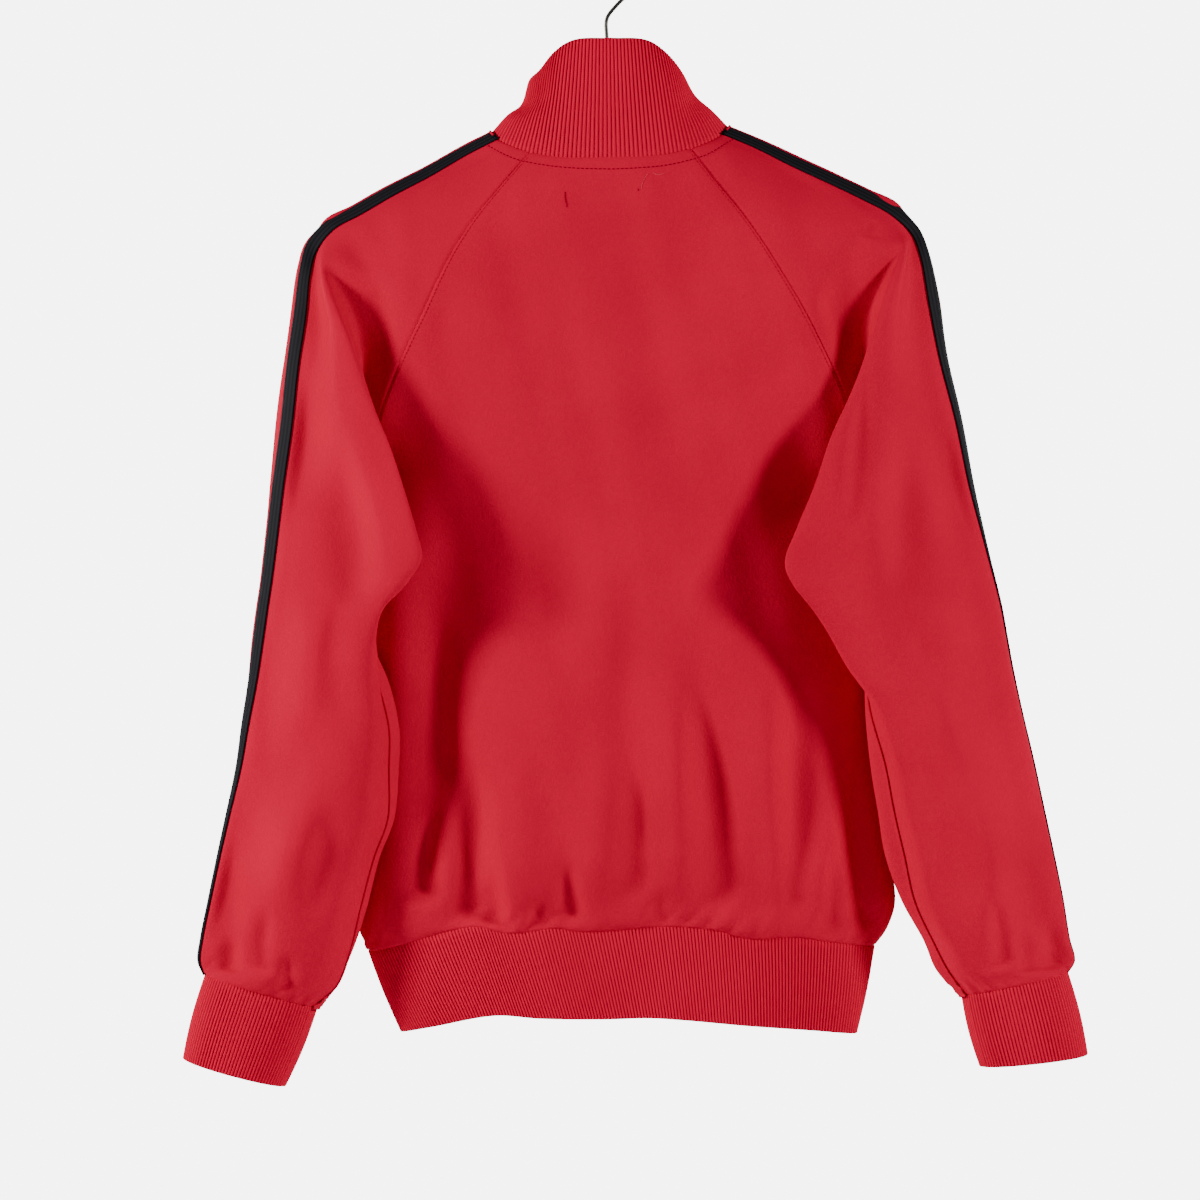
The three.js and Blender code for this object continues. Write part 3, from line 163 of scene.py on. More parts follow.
# Sleeve sections, a row each. x is the distance outwards from the middle of the jacket.
# edge is the outline seen from behind, tape how far the tape's middle lies behind that outline,
# fold the sleeve's back fold, valley the trough between fold and seam, seam the underarm seam,
# side and turn the inner edge of the sleeve's front half, back and front the depths of the sleeve.
SHOULDER_COLUMNS = "seam_z edge_x edge_z"
CAP_COLUMNS = "seam_z edge_x edge_z tape fold_x fold_y fold_z valley_x valley_y back front"
ARM_COLUMNS = (
    "edge_x edge_z tape fold_x fold_y fold_z valley_x valley_y "
    "seam_x seam_y seam_z turn_x turn_y side_x side_y back front"
)
LEFT_SHOULDER = rows_of(SHOULDER_COLUMNS, [
    (-172, 110, -145), (-197, 137, -160), (-222, 164, -173.7), (-247, 188, -187.3), (-270, 208.5, -198.5),
])
LEFT_CAP = rows_of(CAP_COLUMNS, [
    (-290, 221.5, -214.5, 7, 206, 24, -230, 184, 25, 19, -18),
    (-310, 226.5, -232, 8, 201, 36, -254, 181, 26, 33, -26),
    (-332, 231, -262, 9, 187, 48, -289, 179, 27, 43, -32),
    (-352, 236, -302, 9, 170, 58, -333, 180, 27, 51, -36),
    (-371, 240.5, -348, 9, 156, 66, -366, 186, 24, 56, -38),
])
LEFT_ARM = rows_of(ARM_COLUMNS, [
    (246, -392, 9, 146, 71, -398, 186, 27, 187, 0, -392, 189, -7, 191, -16, 60, -38),
    (249.5, -424, 9, 138, 74, -427, 178, 36, 189, 4, -424, 190, -5, 192, -16, 62, -40),
    (252, -447, 9, 134.5, 75, -446, 173, 40, 189, 8, -447, 190, -3, 192, -16, 64, -41),
    (253.5, -462, 8.5, 144, 73, -461, 174, 39, 188, 12, -462, 190, 0, 192, -14, 65, -42),
    (256, -481, 8, 161, 67, -481, 175, 42, 184, 20, -481, 189, 8, 191, -8, 66, -42),
    (259, -505, 7.5, 168, 61, -505, 168, 49, 174, 37, -505, 177, 24, 190, 2, 66, -43),
    (262, -534, 5.5, 173, 60, -534, 166, 51, 168, 46, -534, 162, 33, 188, 8, 65, -43),
    (267, -568, 3.5, 173, 60, -568, 163, 51, 160, 44, -568, 154.4, 33, 188, 8, 64, -42),
    (271, -598, 1.5, 174, 59, -598, 164, 50, 160, 42, -598, 154.6, 32, 188, 8, 63, -41),
    (278, -631, 0, 178, 57, -633, 168, 49, 161, 39, -634, 157.5, 31, 189, 6, 62, -38),
    (284, -659, -1, 186, 55, -661, 176, 46, 171, 37, -662, 168, 30, 191, 4, 60, -34),
    (291, -693, -2, 197, 51, -697, 186, 42, 181, 33, -699, 178, 26, 194, 1, 56, -28),
    (297, -722, -2.5, 207, 45, -727, 195, 38, 189, 30, -731, 188.5, 22, 199, -1, 49, -22),
    (299, -738, -3, 218, 41, -750, 206, 34, 199, 27, -756, 200, 19, 205, 1, 44, -17),
])
RIGHT_SHOULDER = rows_of(SHOULDER_COLUMNS, [
    (-170, 112, -139.7), (-195, 139, -152.5), (-220, 166, -164.7), (-245, 190, -176), (-268, 212, -187.8),
])
RIGHT_CAP = rows_of(CAP_COLUMNS, [
    (-288, 225, -204.5, 3, 211, 24, -218, 189, 25, 19, -18),
    (-308, 232, -223, 3.5, 204, 36, -242, 186, 26, 33, -26),
    (-330, 239, -256, 5, 190, 48, -281, 184, 27, 43, -32),
    (-351, 244.5, -298, 3, 172, 58, -329, 184, 27, 51, -36),
    (-371, 255, -345, 2, 156, 66, -367, 187, 24, 56, -38),
])
RIGHT_ARM = rows_of(ARM_COLUMNS, [
    (263.5, -392, 1, 144, 71, -398, 186, 27, 187, 0, -392, 189, -7, 191, -16, 60, -38),
    (270.5, -424, -1, 133, 74, -427, 178, 36, 189, 4, -424, 190, -5, 192, -16, 62, -40),
    (276, -448, -3, 125.5, 76, -450, 172, 40, 189, 8, -448, 190, -3, 192, -16, 64, -41),
    (280, -464, -4, 131, 75, -465, 173, 40, 188, 12, -463, 190, 1, 192, -14, 65, -42),
    (284, -481, -5, 143, 71, -481, 175, 42, 187, 17, -481, 190, 6, 191, -8, 66, -42),
    (287.5, -500, -6, 156, 66, -500, 176, 46, 186, 24, -500, 190, 12, 192, -4, 66, -43),
    (292, -524, -7, 171, 61, -524, 179, 48, 185, 34, -524, 186.5, 20, 193, 0, 65, -43),
    (299, -556, -8, 196, 59, -556, 190, 50, 188.5, 40, -556, 185.5, 31, 196, 4, 64, -42),
    (308, -594, -8, 209, 59, -594, 202, 50, 199, 40, -594, 189, 31, 203, 4, 63, -41),
    (315.5, -629, -8, 217, 57, -630, 209, 48, 206, 39, -630, 195.5, 30, 209, 4, 62, -38),
    (322, -659, -8, 225, 55, -660, 217, 46, 213, 37, -660, 201, 29, 214, 3, 60, -34),
    (329, -693, -8, 234, 51, -694, 225, 42, 221, 34, -694, 213, 26, 219, 2, 56, -28),
    (334, -722, -8, 249, 46, -724, 240, 38, 235, 30, -724, 229, 22, 232, 1, 49, -22),
    (338, -738, -8, 261, 41, -744, 251, 34, 246, 26, -745, 238, 20, 242, 2, 44, -17),
])

# Cuffs: the outer and inner ends of the seam and of the open end, seen from behind
CUFF_COLUMNS = (
    "seam_outer_x seam_outer_z seam_inner_x seam_inner_z "
    "end_outer_x end_outer_z end_inner_x end_inner_z tape"
)
CUFFS = dict(zip(("left", "right"), rows_of(CUFF_COLUMNS, [
    (295.4, -748.7, 213, -773, 311.5, -810, 236.5, -830.5, -3),
    (334, -747, 256, -764, 348.5, -807, 269.5, -816, -8),
])))
CUFF_MIDDLE_Y = 14
CUFF_HALF_DEPTH = 25

# Zip
CHAIN_HALF_WIDTH = 2.6
CHAIN_HALF_DEPTH = 1.1
ZIP_HALF_WIDTH = 7.2
ZIP_TOP = -133
ZIP_BOTTOM = -781
STOP_HEIGHT = 9

# Hanger
WIRE_RADIUS = 1.4
HOOK_RADIUS = 18
STEM_X = 2.2
STEM_HEIGHTS = [-124, -105, -85, -65, -50]
HOOK_BEND = dict(x=-4.4, z=-40.8)
HOOK_ARC = dict(start=232, end=-25, steps=18)
HOOK_SIDES = 16
HOOK_FINE_STEPS = 6

# Folds, seen from behind: a line from (x1, z1) to (x2, z2), bowed sideways at its middle.
# depth is how far the cloth falls in; a negative one stands out. head and foot are the shares of
# its length over which it fades in and out.
FOLD_COLUMNS = "x1 z1 x2 z2 bow width depth head foot"
BACK_FOLDS = rows_of(FOLD_COLUMNS, [
    (131, -618, 134, -700, 2, 7, 4.5, 0.6, 0.2),
    (96, -560, 104, -722, -3, 9, 5.5, 0.7, 0.15),
    (83, -655, 81, -718, 1, 5, 2.5, 0.6, 0.15),
    (52, -690, 52, -716, 0, 5, 2.2, 0.5, 0.1),
    (29, -640, 26, -713, 2, 6, 3.2, 0.7, 0.15),
    (-20, -520, -14, -712, -3, 11, 4.6, 0.6, 0.2),
    (-38, -680, -35, -714, 0, 5, 1.8, 0.5, 0.1),
    (-66, -480, -82, -714, 5, 11, 6, 0.6, 0.15),
    (-104, -600, -108, -716, -2, 7, 2.8, 0.6, 0.15),
    (-138, -520, -136, -722, 4, 9, 5, 0.6, 0.15),
    (-163, -640, -160, -724, -2, 6, 3, 0.6, 0.15),
    (-182, -560, -188, -726, 3, 6, 3.4, 0.6, 0.15),
    (134, -430, 112, -700, 5, 13, 7, 0.4, 0.4),
    (65, -440, 20, -545, 4, 13, 2.6, 0.5, 0.5),
    (-11, -447, 4, -640, -8, 9, 2.2, 0.5, 0.5),
    (118, -360, 88, -600, 8, 17, 4.5, 0.4, 0.6),
    (-148, -350, -92, -470, -8, 15, 3.5, 0.4, 0.6),
    (-60, -190, -52, -330, 6, 20, 2.6, 0.4, 0.6),
    (62, -195, 66, -320, -5, 19, 2.2, 0.4, 0.6),
    (12, -330, 24, -560, 9, 24, 3.2, 0.5, 0.5),
    (-24, -230, -34, -440, -6, 18, 2.2, 0.5, 0.5),
    (4, -560, 6, -700, -2, 13, -3, 0.5, 0.3),
    (-46, -540, -56, -705, 2, 13, -3.4, 0.5, 0.3),
    (-112, -470, -120, -700, 3, 13, -3.2, 0.5, 0.3),
    (66, -560, 68, -705, -3, 14, -3, 0.5, 0.3),
    (118, -580, 119, -700, 2, 9, -2.4, 0.5, 0.3),
])
FRONT_FOLDS = rows_of(FOLD_COLUMNS, [
    (134, -560, 130, -722, 3, 9, 4.5, 0.6, 0.15),
    (78, -500, 84, -716, -4, 11, 5.5, 0.6, 0.15),
    (58, -650, 60, -715, 1, 6, 2.4, 0.5, 0.15),
    (36, -600, 40, -715, 2, 8, 3.4, 0.6, 0.15),
    (108, -590, 106, -716, 2, 12, -3, 0.5, 0.3),
    (-44, -580, -46, -716, -2, 8, 3.6, 0.6, 0.15),
    (-72, -660, -70, -716, 0, 6, 2, 0.5, 0.15),
    (-90, -510, -98, -718, 4, 11, 5.5, 0.6, 0.15),
    (-122, -570, -124, -716, -3, 12, -3, 0.5, 0.3),
    (-152, -580, -150, -722, 2, 9, 4.2, 0.6, 0.15),
    (128, -330, 92, -480, 8, 16, 4, 0.4, 0.6),
    (-132, -330, -96, -490, -8, 16, 4, 0.4, 0.6),
    (60, -240, 40, -400, 6, 20, 2.6, 0.4, 0.6),
    (-64, -240, -42, -380, -6, 20, 2.6, 0.4, 0.6),
])
LEFT_SLEEVE_FOLDS = rows_of(FOLD_COLUMNS, [
    (196, -196, 158, -310, -5, 8, 2.4, 0.3, 0.5),
    (172, -186, 148, -260, 4, 10, 1.6, 0.4, 0.5),
    (222, -300, 226, -440, -5, 12, 3, 0.4, 0.6),
    (199, -345, 190, -530, -3, 15, 5, 0.35, 0.4),
    (203, -460, 186, -610, 3, 12, 3.6, 0.4, 0.5),
    (186, -370, 178, -470, -3, 7, 1.2, 0.5, 0.4),
    (188, -330, 174, -450, -3, 8, -1.6, 0.5, 0.5),
    (208, -540, 232, -650, 5, 13, 3, 0.5, 0.5),
    (216, -600, 240, -700, -4, 9, -2, 0.5, 0.5),
    (198, -620, 214, -720, 3, 8, 2.4, 0.5, 0.4),
    (268, -640, 282, -730, 2, 8, 2, 0.5, 0.4),
    (246, -690, 252, -748, 2, 6, 2.6, 0.5, 0.1),
    (274, -716, 276, -746, 0, 4.5, 1.8, 0.5, 0.1),
    (232, -728, 234, -760, 0, 4.5, 2, 0.5, 0.1),
])
RIGHT_SLEEVE_FOLDS = rows_of(FOLD_COLUMNS, [
    (-190, -196, -150, -330, 5, 10, 2.4, 0.3, 0.5),
    (-191, -199, -189, -214, 0, 4, 0.8, 0.3, 0.3),
    (-190, -280, -174, -437, 3, 5, 1.3, 0.5, 0.2),
    (-221, -330, -213, -510, 5, 12, 3.8, 0.4, 0.5),
    (-232, -330, -256, -470, -6, 12, 3, 0.4, 0.6),
    (-184, -400, -192, -500, -4, 9, -1.8, 0.5, 0.5),
    (-205, -470, -246, -580, -6, 11, 3.2, 0.4, 0.6),
    (-250, -500, -284, -640, 5, 13, 2.8, 0.5, 0.6),
    (-238, -600, -262, -720, -4, 11, 3, 0.5, 0.4),
    (-290, -640, -310, -735, 3, 10, 2.4, 0.5, 0.3),
    (-274, -680, -284, -744, -2, 6, 2.4, 0.5, 0.1),
    (-300, -712, -303, -746, 0, 4.5, 1.8, 0.5, 0.1),
    (-320, -706, -323, -744, 0, 5, 2, 0.5, 0.1),
])
SLEEVE_FOLDS = dict(left=LEFT_SLEEVE_FOLDS, right=RIGHT_SLEEVE_FOLDS)
# A fold is wider at its foot than at its head
FOLD_SPREAD = dict(head=0.75, more=0.5)
# Gathers just above a rib, all round: how far apart, how deep and how far up they reach
GATHERS = dict(hem=dict(pitch=15, depth=1.3, reach=17), cuff=dict(pitch=11, depth=1.1, reach=14))
GATHER_DRIFT = dict(turn=1.3, length=37)
GATHER_STRENGTH = dict(middle=0.55, change=0.45, length=23, phase=2)
GATHER_RISE = 3
ARMPIT_FADE = 10
SEAM_DIP = dict(depth=0.95, width=1.3, below_armpit=0.12, front=0.4)
# The folds of a part are scaled alike, so that they can be made stronger or softer together
FOLD_SCALE = dict(body=dict(depth=2.1, width=1.1), sleeve=dict(depth=2.15, width=1.05))
# Broad, low undulations of the hanging cloth: wavelengths across and down, depth and phase
UNDULATIONS = rows_of("across down depth phase", [
    (118, 310, 0.9, 0.4),
    (-74, 190, 0.6, 2.1),
    (47, -260, 0.32, 4.4),
    (-31, 140, 0.16, 1.2),
])
# The fine grids: the step between rows, the columns of each part and those close beside a seam
ROW_STEP = 3.2
ROW_SAMPLES = 20
TORSO_COLUMNS = dict(back=128, front=66)
TORSO_NEAR_SEAM = np.array((0, 0.8, 1.7, 2.8, 4.2))
TORSO_FREE_FROM = 6
SLEEVE_COLUMNS = dict(tape=13, back=84, front=72)
SLEEVE_NEAR_SEAM = (0, 0.004, 0.009, 0.016)
SLEEVE_FREE_FROM = 0.025
NECK_STEPS = 144
FINE_PER_PLACE = 24
EDGE_PLACE = 5
UP = np.array((0.0, 0.0, 1.0))


def read(table, key, name, at):
    """One column of a table at places along its key column, smoothly between rows."""
    keys = np.array([row[key] for row in table], float)
    values = np.array([row[name] for row in table], float)
    if keys[0] > keys[-1]:
        keys, values = keys[::-1], values[::-1]
    last = len(keys) - 1
    before = np.maximum(np.arange(last + 1) - 1, 0)
    after = np.minimum(np.arange(last + 1) + 1, last)
    slopes = (values[after] - values[before]) / (keys[after] - keys[before])
    at = np.asarray(at, float)
    i = np.clip(np.searchsorted(keys, at) - 1, 0, last - 1)
    span = keys[i + 1] - keys[i]
    t = np.clip((at - keys[i]) / span, 0, 1)
    ease = t * t * (3 - 2 * t)
    start = t * (1 - t) ** 2 * span * slopes[i]
    end = t * t * (1 - t) * span * slopes[i + 1]
    return values[i] + (values[i + 1] - values[i]) * ease + start - end


def mix(a, b, share):
    return a + (b - a) * share


def step_up(low, high, value):
    t = np.clip((value - low) / (high - low), 0, 1)
    return t * t * (3 - 2 * t)


def point(x, y, z):
    return np.array((x, y, z), float)


def unit(v):
    return v / np.maximum(np.linalg.norm(v, axis=-1, keepdims=True), 1e-9)


def span_points(p, steps):
    """Points from p[1] to p[2] of the smooth curve through four points, without the last."""
    def gap(a, b):
        return ((a - b) ** 2).sum(-1, keepdims=True) ** 0.25
    d1 = gap(p[1], p[2])
    d1 = np.where(d1 < 1e-4, 1.0, d1)
    d0, d2 = gap(p[0], p[1]), gap(p[2], p[3])
    d0 = np.where(d0 < 1e-4, d1, d0)
    d2 = np.where(d2 < 1e-4, d1, d2)
    m1 = ((p[1] - p[0]) / d0 - (p[2] - p[0]) / (d0 + d1) + (p[2] - p[1]) / d1) * d1
    m2 = ((p[2] - p[1]) / d1 - (p[3] - p[1]) / (d1 + d2) + (p[3] - p[2]) / d2) * d1
    t = (np.arange(steps) / steps).reshape((-1,) + (1,) * p[1].ndim)
    squared = (3 * (p[2] - p[1]) - 2 * m1 - m2) * t**2
    return p[1] + m1 * t + squared + (2 * (p[1] - p[2]) + m1 + m2) * t**3


def smooth_through(stations, steps):
    """The smooth surface or line through the stations, with so many steps between neighbours."""
    s = np.asarray(stations, float)
    padded = np.concatenate([[2 * s[0] - s[1]], s, [2 * s[-1] - s[-2]]])
    spans = [span_points(padded[i:i + 4], steps[i]) for i in range(len(s) - 1)]
    return np.concatenate(spans + [s[-1:]])


def lengths_of(line):
    return np.concatenate([[0], np.cumsum(np.linalg.norm(np.diff(line, axis=0), axis=1))])


def points_at(line, lengths, at):
    return np.stack([np.interp(at, lengths, line[:, k]) for k in range(3)], axis=-1)


def spaced(line, count):
    lengths = lengths_of(line)
    return points_at(line, lengths, np.linspace(0, lengths[-1], count + 1))


def row_steps(stations):
    """How many fine rows go between neighbouring stations."""
    gaps = np.linalg.norm(np.diff(stations, axis=0), axis=-1).mean(axis=1)
    return np.maximum(1, np.round(gaps / ROW_STEP)).astype(int)


# The neck, torso and sleeve sections, the same as in the part
def ring_point(angle, half_width, back_depth, front_depth, heights, tilt):
    turn = math.radians(angle)
    depth = back_depth if math.cos(turn) > 0 else front_depth
    x = half_width * math.sin(turn)
    return point(x, depth * math.cos(turn), float(read(heights, "angle", "z", abs(angle))) - tilt * x)


def zip_side(half_width, power=2.0):
    """The angle round a section, in degrees, at which the front ends beside the zip."""
    return 180 - math.degrees(math.asin((ZIP_HALF_WIDTH / half_width) ** (power / 2)))


def neck_point(angle):
    return ring_point(angle, NECK_HALF_WIDTH, NECK_BACK_DEPTH, NECK_FRONT_DEPTH, NECK_HEIGHTS, NECK_TILT)


def neck_normals(points):
    depth = np.where(points[..., 1] > 0, NECK_BACK_DEPTH, NECK_FRONT_DEPTH)
    out = np.stack([points[..., 0] / NECK_HALF_WIDTH**2, points[..., 1] / depth**2, points[..., 0] * 0], -1)
    return unit(unit(out) + UP * NECK_FLARE)


SIGNS = dict(left=1, right=-1)
SLEEVES = dict(
    left=dict(shoulder=LEFT_SHOULDER, cap=LEFT_CAP, arm=LEFT_ARM),
    right=dict(shoulder=RIGHT_SHOULDER, cap=RIGHT_CAP, arm=RIGHT_ARM),
)


def raglan_stations(side):
    """Points along a sleeve's two raglan seams, from the neck to the armpit."""
    sign, rows = SIGNS[side], SLEEVES[side]
    tops = dict(back=neck_point(sign * BACK_CORNER), front=neck_point(sign * FRONT_CORNER))
    heights = [row["seam_z"] for row in rows["shoulder"] + rows["cap"] + rows["arm"][:1]]

    def seam_point(table, z):
        return point(sign * float(read(table, "z", side, z)), float(read(table, "z", "y", z)), z)

    def front_z(z):
        share = (z - tops["back"][2]) / (ARMPIT_Z - tops["back"][2])
        return mix(tops["front"][2], ARMPIT_Z, share)

    back = [tops["back"]] + [seam_point(RAGLAN_BACK, z) for z in heights]
    front = [tops["front"]] + [seam_point(RAGLAN_FRONT, front_z(z)) for z in heights]
    return dict(back=back, front=front)


STATIONS = dict(left=raglan_stations("left"), right=raglan_stations("right"))
UPPER_ROWS = len(STATIONS["left"]["back"])


def torso_line(start, stop, ends, middle):
    turn = np.radians(np.linspace(start, stop, FINE_STEPS + 1))[:, None]
    end = np.where(np.sin(turn) > 0, ends["left"], ends["right"])
    across = np.abs(np.sin(turn)) ** (2 / TORSO_POWER)
    lowered = np.clip(np.abs(end[:, 1:2]) / ARMHOLE_DEPTH, 0, 1)
    along = np.abs(np.cos(turn)) ** (1 + lowered)
    y = mix(end[:, 1:2], middle[1], along)
    z = mix(middle[2], end[:, 2:3], across * across)
    return np.concatenate([end[:, 0:1] * across, y, z], axis=1)


def torso_columns(line, count):
    """Columns of one row, closer together beside the seams."""
    lengths = lengths_of(line)
    total = lengths[-1]
    inside = np.linspace(TORSO_FREE_FROM, total - TORSO_FREE_FROM, count)
    at = np.concatenate([TORSO_NEAR_SEAM, inside, total - TORSO_NEAR_SEAM[::-1]])
    return points_at(line, lengths, at)


def torso_grid(side, start, stop, columns):
    is_back = side == "back"
    seam = "back" if is_back else "front"
    hem_side_z = TORSO[-1]["z"]
    turn = math.copysign(1, start)
    rows = []

    def add_row(ends, middle):
        first = start if is_back else turn * zip_side(abs(ends[side][0]), TORSO_POWER)
        rows.append(torso_columns(torso_line(first, stop, ends, middle), columns))

    neck_from = -BACK_CORNER if is_back else turn * zip_side(NECK_HALF_WIDTH)
    neck_to = BACK_CORNER if is_back else turn * FRONT_CORNER
    neck_line = np.array([neck_point(a) for a in np.linspace(neck_from, neck_to, FINE_STEPS + 1)])
    rows.append(torso_columns(neck_line, columns))
    neck_middle = neck_point(0 if is_back else 180)
    for k in range(1, UPPER_ROWS):
        ends = {name: STATIONS[name][seam][k].copy() for name in SIGNS}
        if k == UPPER_ROWS - 1:
            for name, sign in SIGNS.items():
                ends[name][0] -= sign * SEAM_GAP * 2
        below = ends["left"][2] + ends["right"][2] - 2 * neck_middle[2]
        share = below / (2 * (ARMPIT_Z - neck_middle[2]))
        rise = max(share, MIDDLE_RISE["least"]) ** MIDDLE_RISE["power"]
        middle_y = mix(neck_middle[1], TORSO[0][seam], rise)
        middle_z = mix(neck_middle[2], ARMPIT_Z, max(share, MIDDLE_RISE["per_row"] * k))
        add_row(ends, point(0, middle_y, middle_z))
    for share in TORSO_ROWS:
        z = mix(ARMPIT_Z, hem_side_z, share)
        ends = {name: point(sign * float(read(TORSO, "z", name, z)), 0, z) for name, sign in SIGNS.items()}
        add_row(ends, point(0, float(read(TORSO, "z", seam, z)), z))
        rows[-1][:, 2] = mix(ARMPIT_Z, read(HEM_SEAM, "x", "z", rows[-1][:, 0]), share)
    rows = np.array(rows)
    return smooth_through(rows, row_steps(rows))


def smooth_line(places):
    return smooth_through(places, [FINE_PER_PLACE] * (len(places) - 1))


def shoulder_places(row, back, front, sign):
    edge = point(sign * row["edge_x"], 0, row["edge_z"])

    def falls(seam, shares):
        reach = np.linalg.norm(edge - seam)
        whole = 1 - math.exp(-reach / SHOULDER_SLACK)
        made = []
        for share in shares:
            p = mix(edge, seam, share)
            p[1] = seam[1] * (1 - math.exp(-share * reach / SHOULDER_SLACK)) / whole
            made.append(p)
        return made

    def beside(seam):
        p = mix(edge, seam, CROWN["share"])
        p[1] = math.copysign(CROWN["depth"], seam[1])
        p[2] = edge[2] - CROWN["drop"]
        return p

    return np.array([back, *falls(back, SHOULDER_FALLS["back"]), beside(back), edge, beside(front),
                     *falls(front, SHOULDER_FALLS["front"]), front])


def arm_places(row, back, front, sign):
    middle = mix(row["front"], row["back"], ARM_BACK["edge_depth"])
    width = row["edge_x"] - row["fold_x"]
    has_side = "side_x" in row
    inner = ARM_FRONT["inner"]
    cap_x = mix(row["edge_x"], abs(front[0]), inner["cap_share"])
    front_inner_x = row["side_x"] + inner["side_gap"] if has_side else cap_x
    front_width = row["edge_x"] - front_inner_x

    def height(x):
        return mix(row["edge_z"], row["fold_z"], min(max((row["edge_x"] - x) / width, 0), 1))

    def at(x, y, z):
        return point(sign * x, y, z)

    def front_z(share):
        return mix(row["edge_z"], front[2], share)

    def on_front(place):
        x = row["edge_x"] - place["across"] * front_width
        return at(x, mix(middle, row["front"], place["depth"]), front_z(place["down"]))

    valley = at(row["valley_x"], row["valley_y"], mix(back[2], row["fold_z"], 0.5))
    fold = at(row["fold_x"], row["fold_y"], row["fold_z"])
    outer_x = row["edge_x"] - min(width / 2, ARM_BACK["outer_reach"])
    outer_back = at(outer_x, mix(middle, row["back"], ARM_BACK["outer_depth"]), height(outer_x))
    belly_x = mix(outer_x, row["fold_x"], ARM_BACK["belly"])
    belly = at(belly_x, row["back"], height(belly_x))
    edge = at(row["edge_x"], middle, row["edge_z"])
    front_inner = at(front_inner_x, row["front"] * inner["depth"], front_z(inner["down"]))

    def inward(name):
        place = ARM_FRONT[name]
        if has_side:
            return at(row[name + "_x"], row[name + "_y"], front_z(place["down"]))
        return mix(front_inner, front, place["cap_share"])

    return np.array([back, valley, fold, belly, outer_back, edge, on_front(ARM_FRONT["outer"]),
                     on_front(ARM_FRONT["belly"]), front_inner, inward("side"), inward("turn"), front])


def cuff_places(side, end):
    cuff = CUFFS[side]
    outer = point(cuff[end + "_outer_x"], CUFF_MIDDLE_Y, cuff[end + "_outer_z"])
    inner = point(cuff[end + "_inner_x"], CUFF_MIDDLE_Y, cuff[end + "_inner_z"])
    made = []
    for angle in np.radians(CUFF_ANGLES):
        p = mix(inner, outer, (1 + math.cos(angle)) / 2)
        p[1] += CUFF_HALF_DEPTH * math.sin(angle)
        p[0] *= SIGNS[side]
        made.append(p)
    return np.array(made)


def sleeve_sections(side):
    """Each section's fine line, the number of its edge point and how far back the tape lies."""
    sign, rows = SIGNS[side], SLEEVES[side]
    back, front = STATIONS[side]["back"], STATIONS[side]["front"]
    angles = sign * np.linspace(BACK_CORNER, FRONT_CORNER, NECK_STEPS + 1)
    neck_edge = round((NECK_TAPE_ANGLE - BACK_CORNER) / (FRONT_CORNER - BACK_CORNER) * NECK_STEPS)
    sections = [(np.array([neck_point(a) for a in angles]), neck_edge, 0)]
    edge = EDGE_PLACE * FINE_PER_PLACE
    for k, row in enumerate(rows["shoulder"]):
        places = shoulder_places(row, back[k + 1], front[k + 1], sign)
        sections.append((smooth_line(places), edge, SHOULDER_TAPE))
    for k, row in enumerate(rows["cap"]):
        n = len(rows["shoulder"]) + k + 1
        sections.append((smooth_line(arm_places(row, back[n], front[n], sign)), edge, row["tape"]))
    for k, row in enumerate(rows["arm"]):
        seam = point(sign * row["seam_x"], row["seam_y"], row["seam_z"])
        seam[0] += sign * SEAM_GAP * 2 * (k == 0)
        sections.append((smooth_line(arm_places(row, seam, seam, sign)), edge, row["tape"]))
    sections.append((smooth_line(cuff_places(side, "seam")), edge, CUFFS[side]["tape"]))
    return sections


SECTIONS = {side: sleeve_sections(side) for side in SIGNS}


def sleeve_grid(side, part):
    """The back half, the front half or the tape, as a fine grid."""
    count = SLEEVE_COLUMNS[part]
    stations = []
    for line, edge, tape in SECTIONS[side]:
        lengths = lengths_of(line)
        split = lengths[edge] - tape
        if part == "tape":
            at = split + np.linspace(-TAPE_WIDTH / 2, TAPE_WIDTH / 2, count)
        elif part == "back":
            shares = np.concatenate([SLEEVE_NEAR_SEAM, np.linspace(SLEEVE_FREE_FROM, 1, count)])
            fine = np.interp(shares * edge, np.arange(len(line)), lengths)
            at = fine * split / lengths[edge]
        else:
            free = np.linspace(0, 1 - SLEEVE_FREE_FROM, count)
            shares = np.concatenate([free, 1 - np.array(SLEEVE_NEAR_SEAM[::-1])])
            fine = np.interp(mix(edge, len(line) - 1, shares), np.arange(len(line)), lengths)
            at = split + (fine - lengths[edge]) * (lengths[-1] - split) / (lengths[-1] - lengths[edge])
        stations.append(points_at(line, lengths, at))
    stations = np.array(stations)
    whole = np.array([spaced(line, ROW_SAMPLES) for line, _, _ in SECTIONS[side]])
    return smooth_through(stations, row_steps(whole))


def grid_normals(grid, hint, is_round=False):
    if is_round:
        wide = np.concatenate([grid[:, -2:-1], grid, grid[:, 1:2]], axis=1)
        across = wide[:, 2:] - wide[:, :-2]
    else:
        across = np.gradient(grid, axis=1)
    normals = unit(np.cross(np.gradient(grid, axis=0), across))
    middle = normals[len(grid) // 2, grid.shape[1] // 2]
    return -normals if middle @ np.array(hint, float) < 0 else normals


def edge_distances(grid):
    """How far each point of a grid lies from its first and last column and its first and last row."""
    across = np.linalg.norm(np.diff(grid, axis=1), axis=-1)
    down = np.linalg.norm(np.diff(grid, axis=0), axis=-1)
    u = np.concatenate([np.zeros((len(grid), 1)), np.cumsum(across, axis=1)], axis=1)
    v = np.concatenate([np.zeros((1, grid.shape[1])), np.cumsum(down, axis=0)], axis=0)
    return dict(first=u, last=u[:, -1:] - u, top=v, bottom=v[-1:] - v)


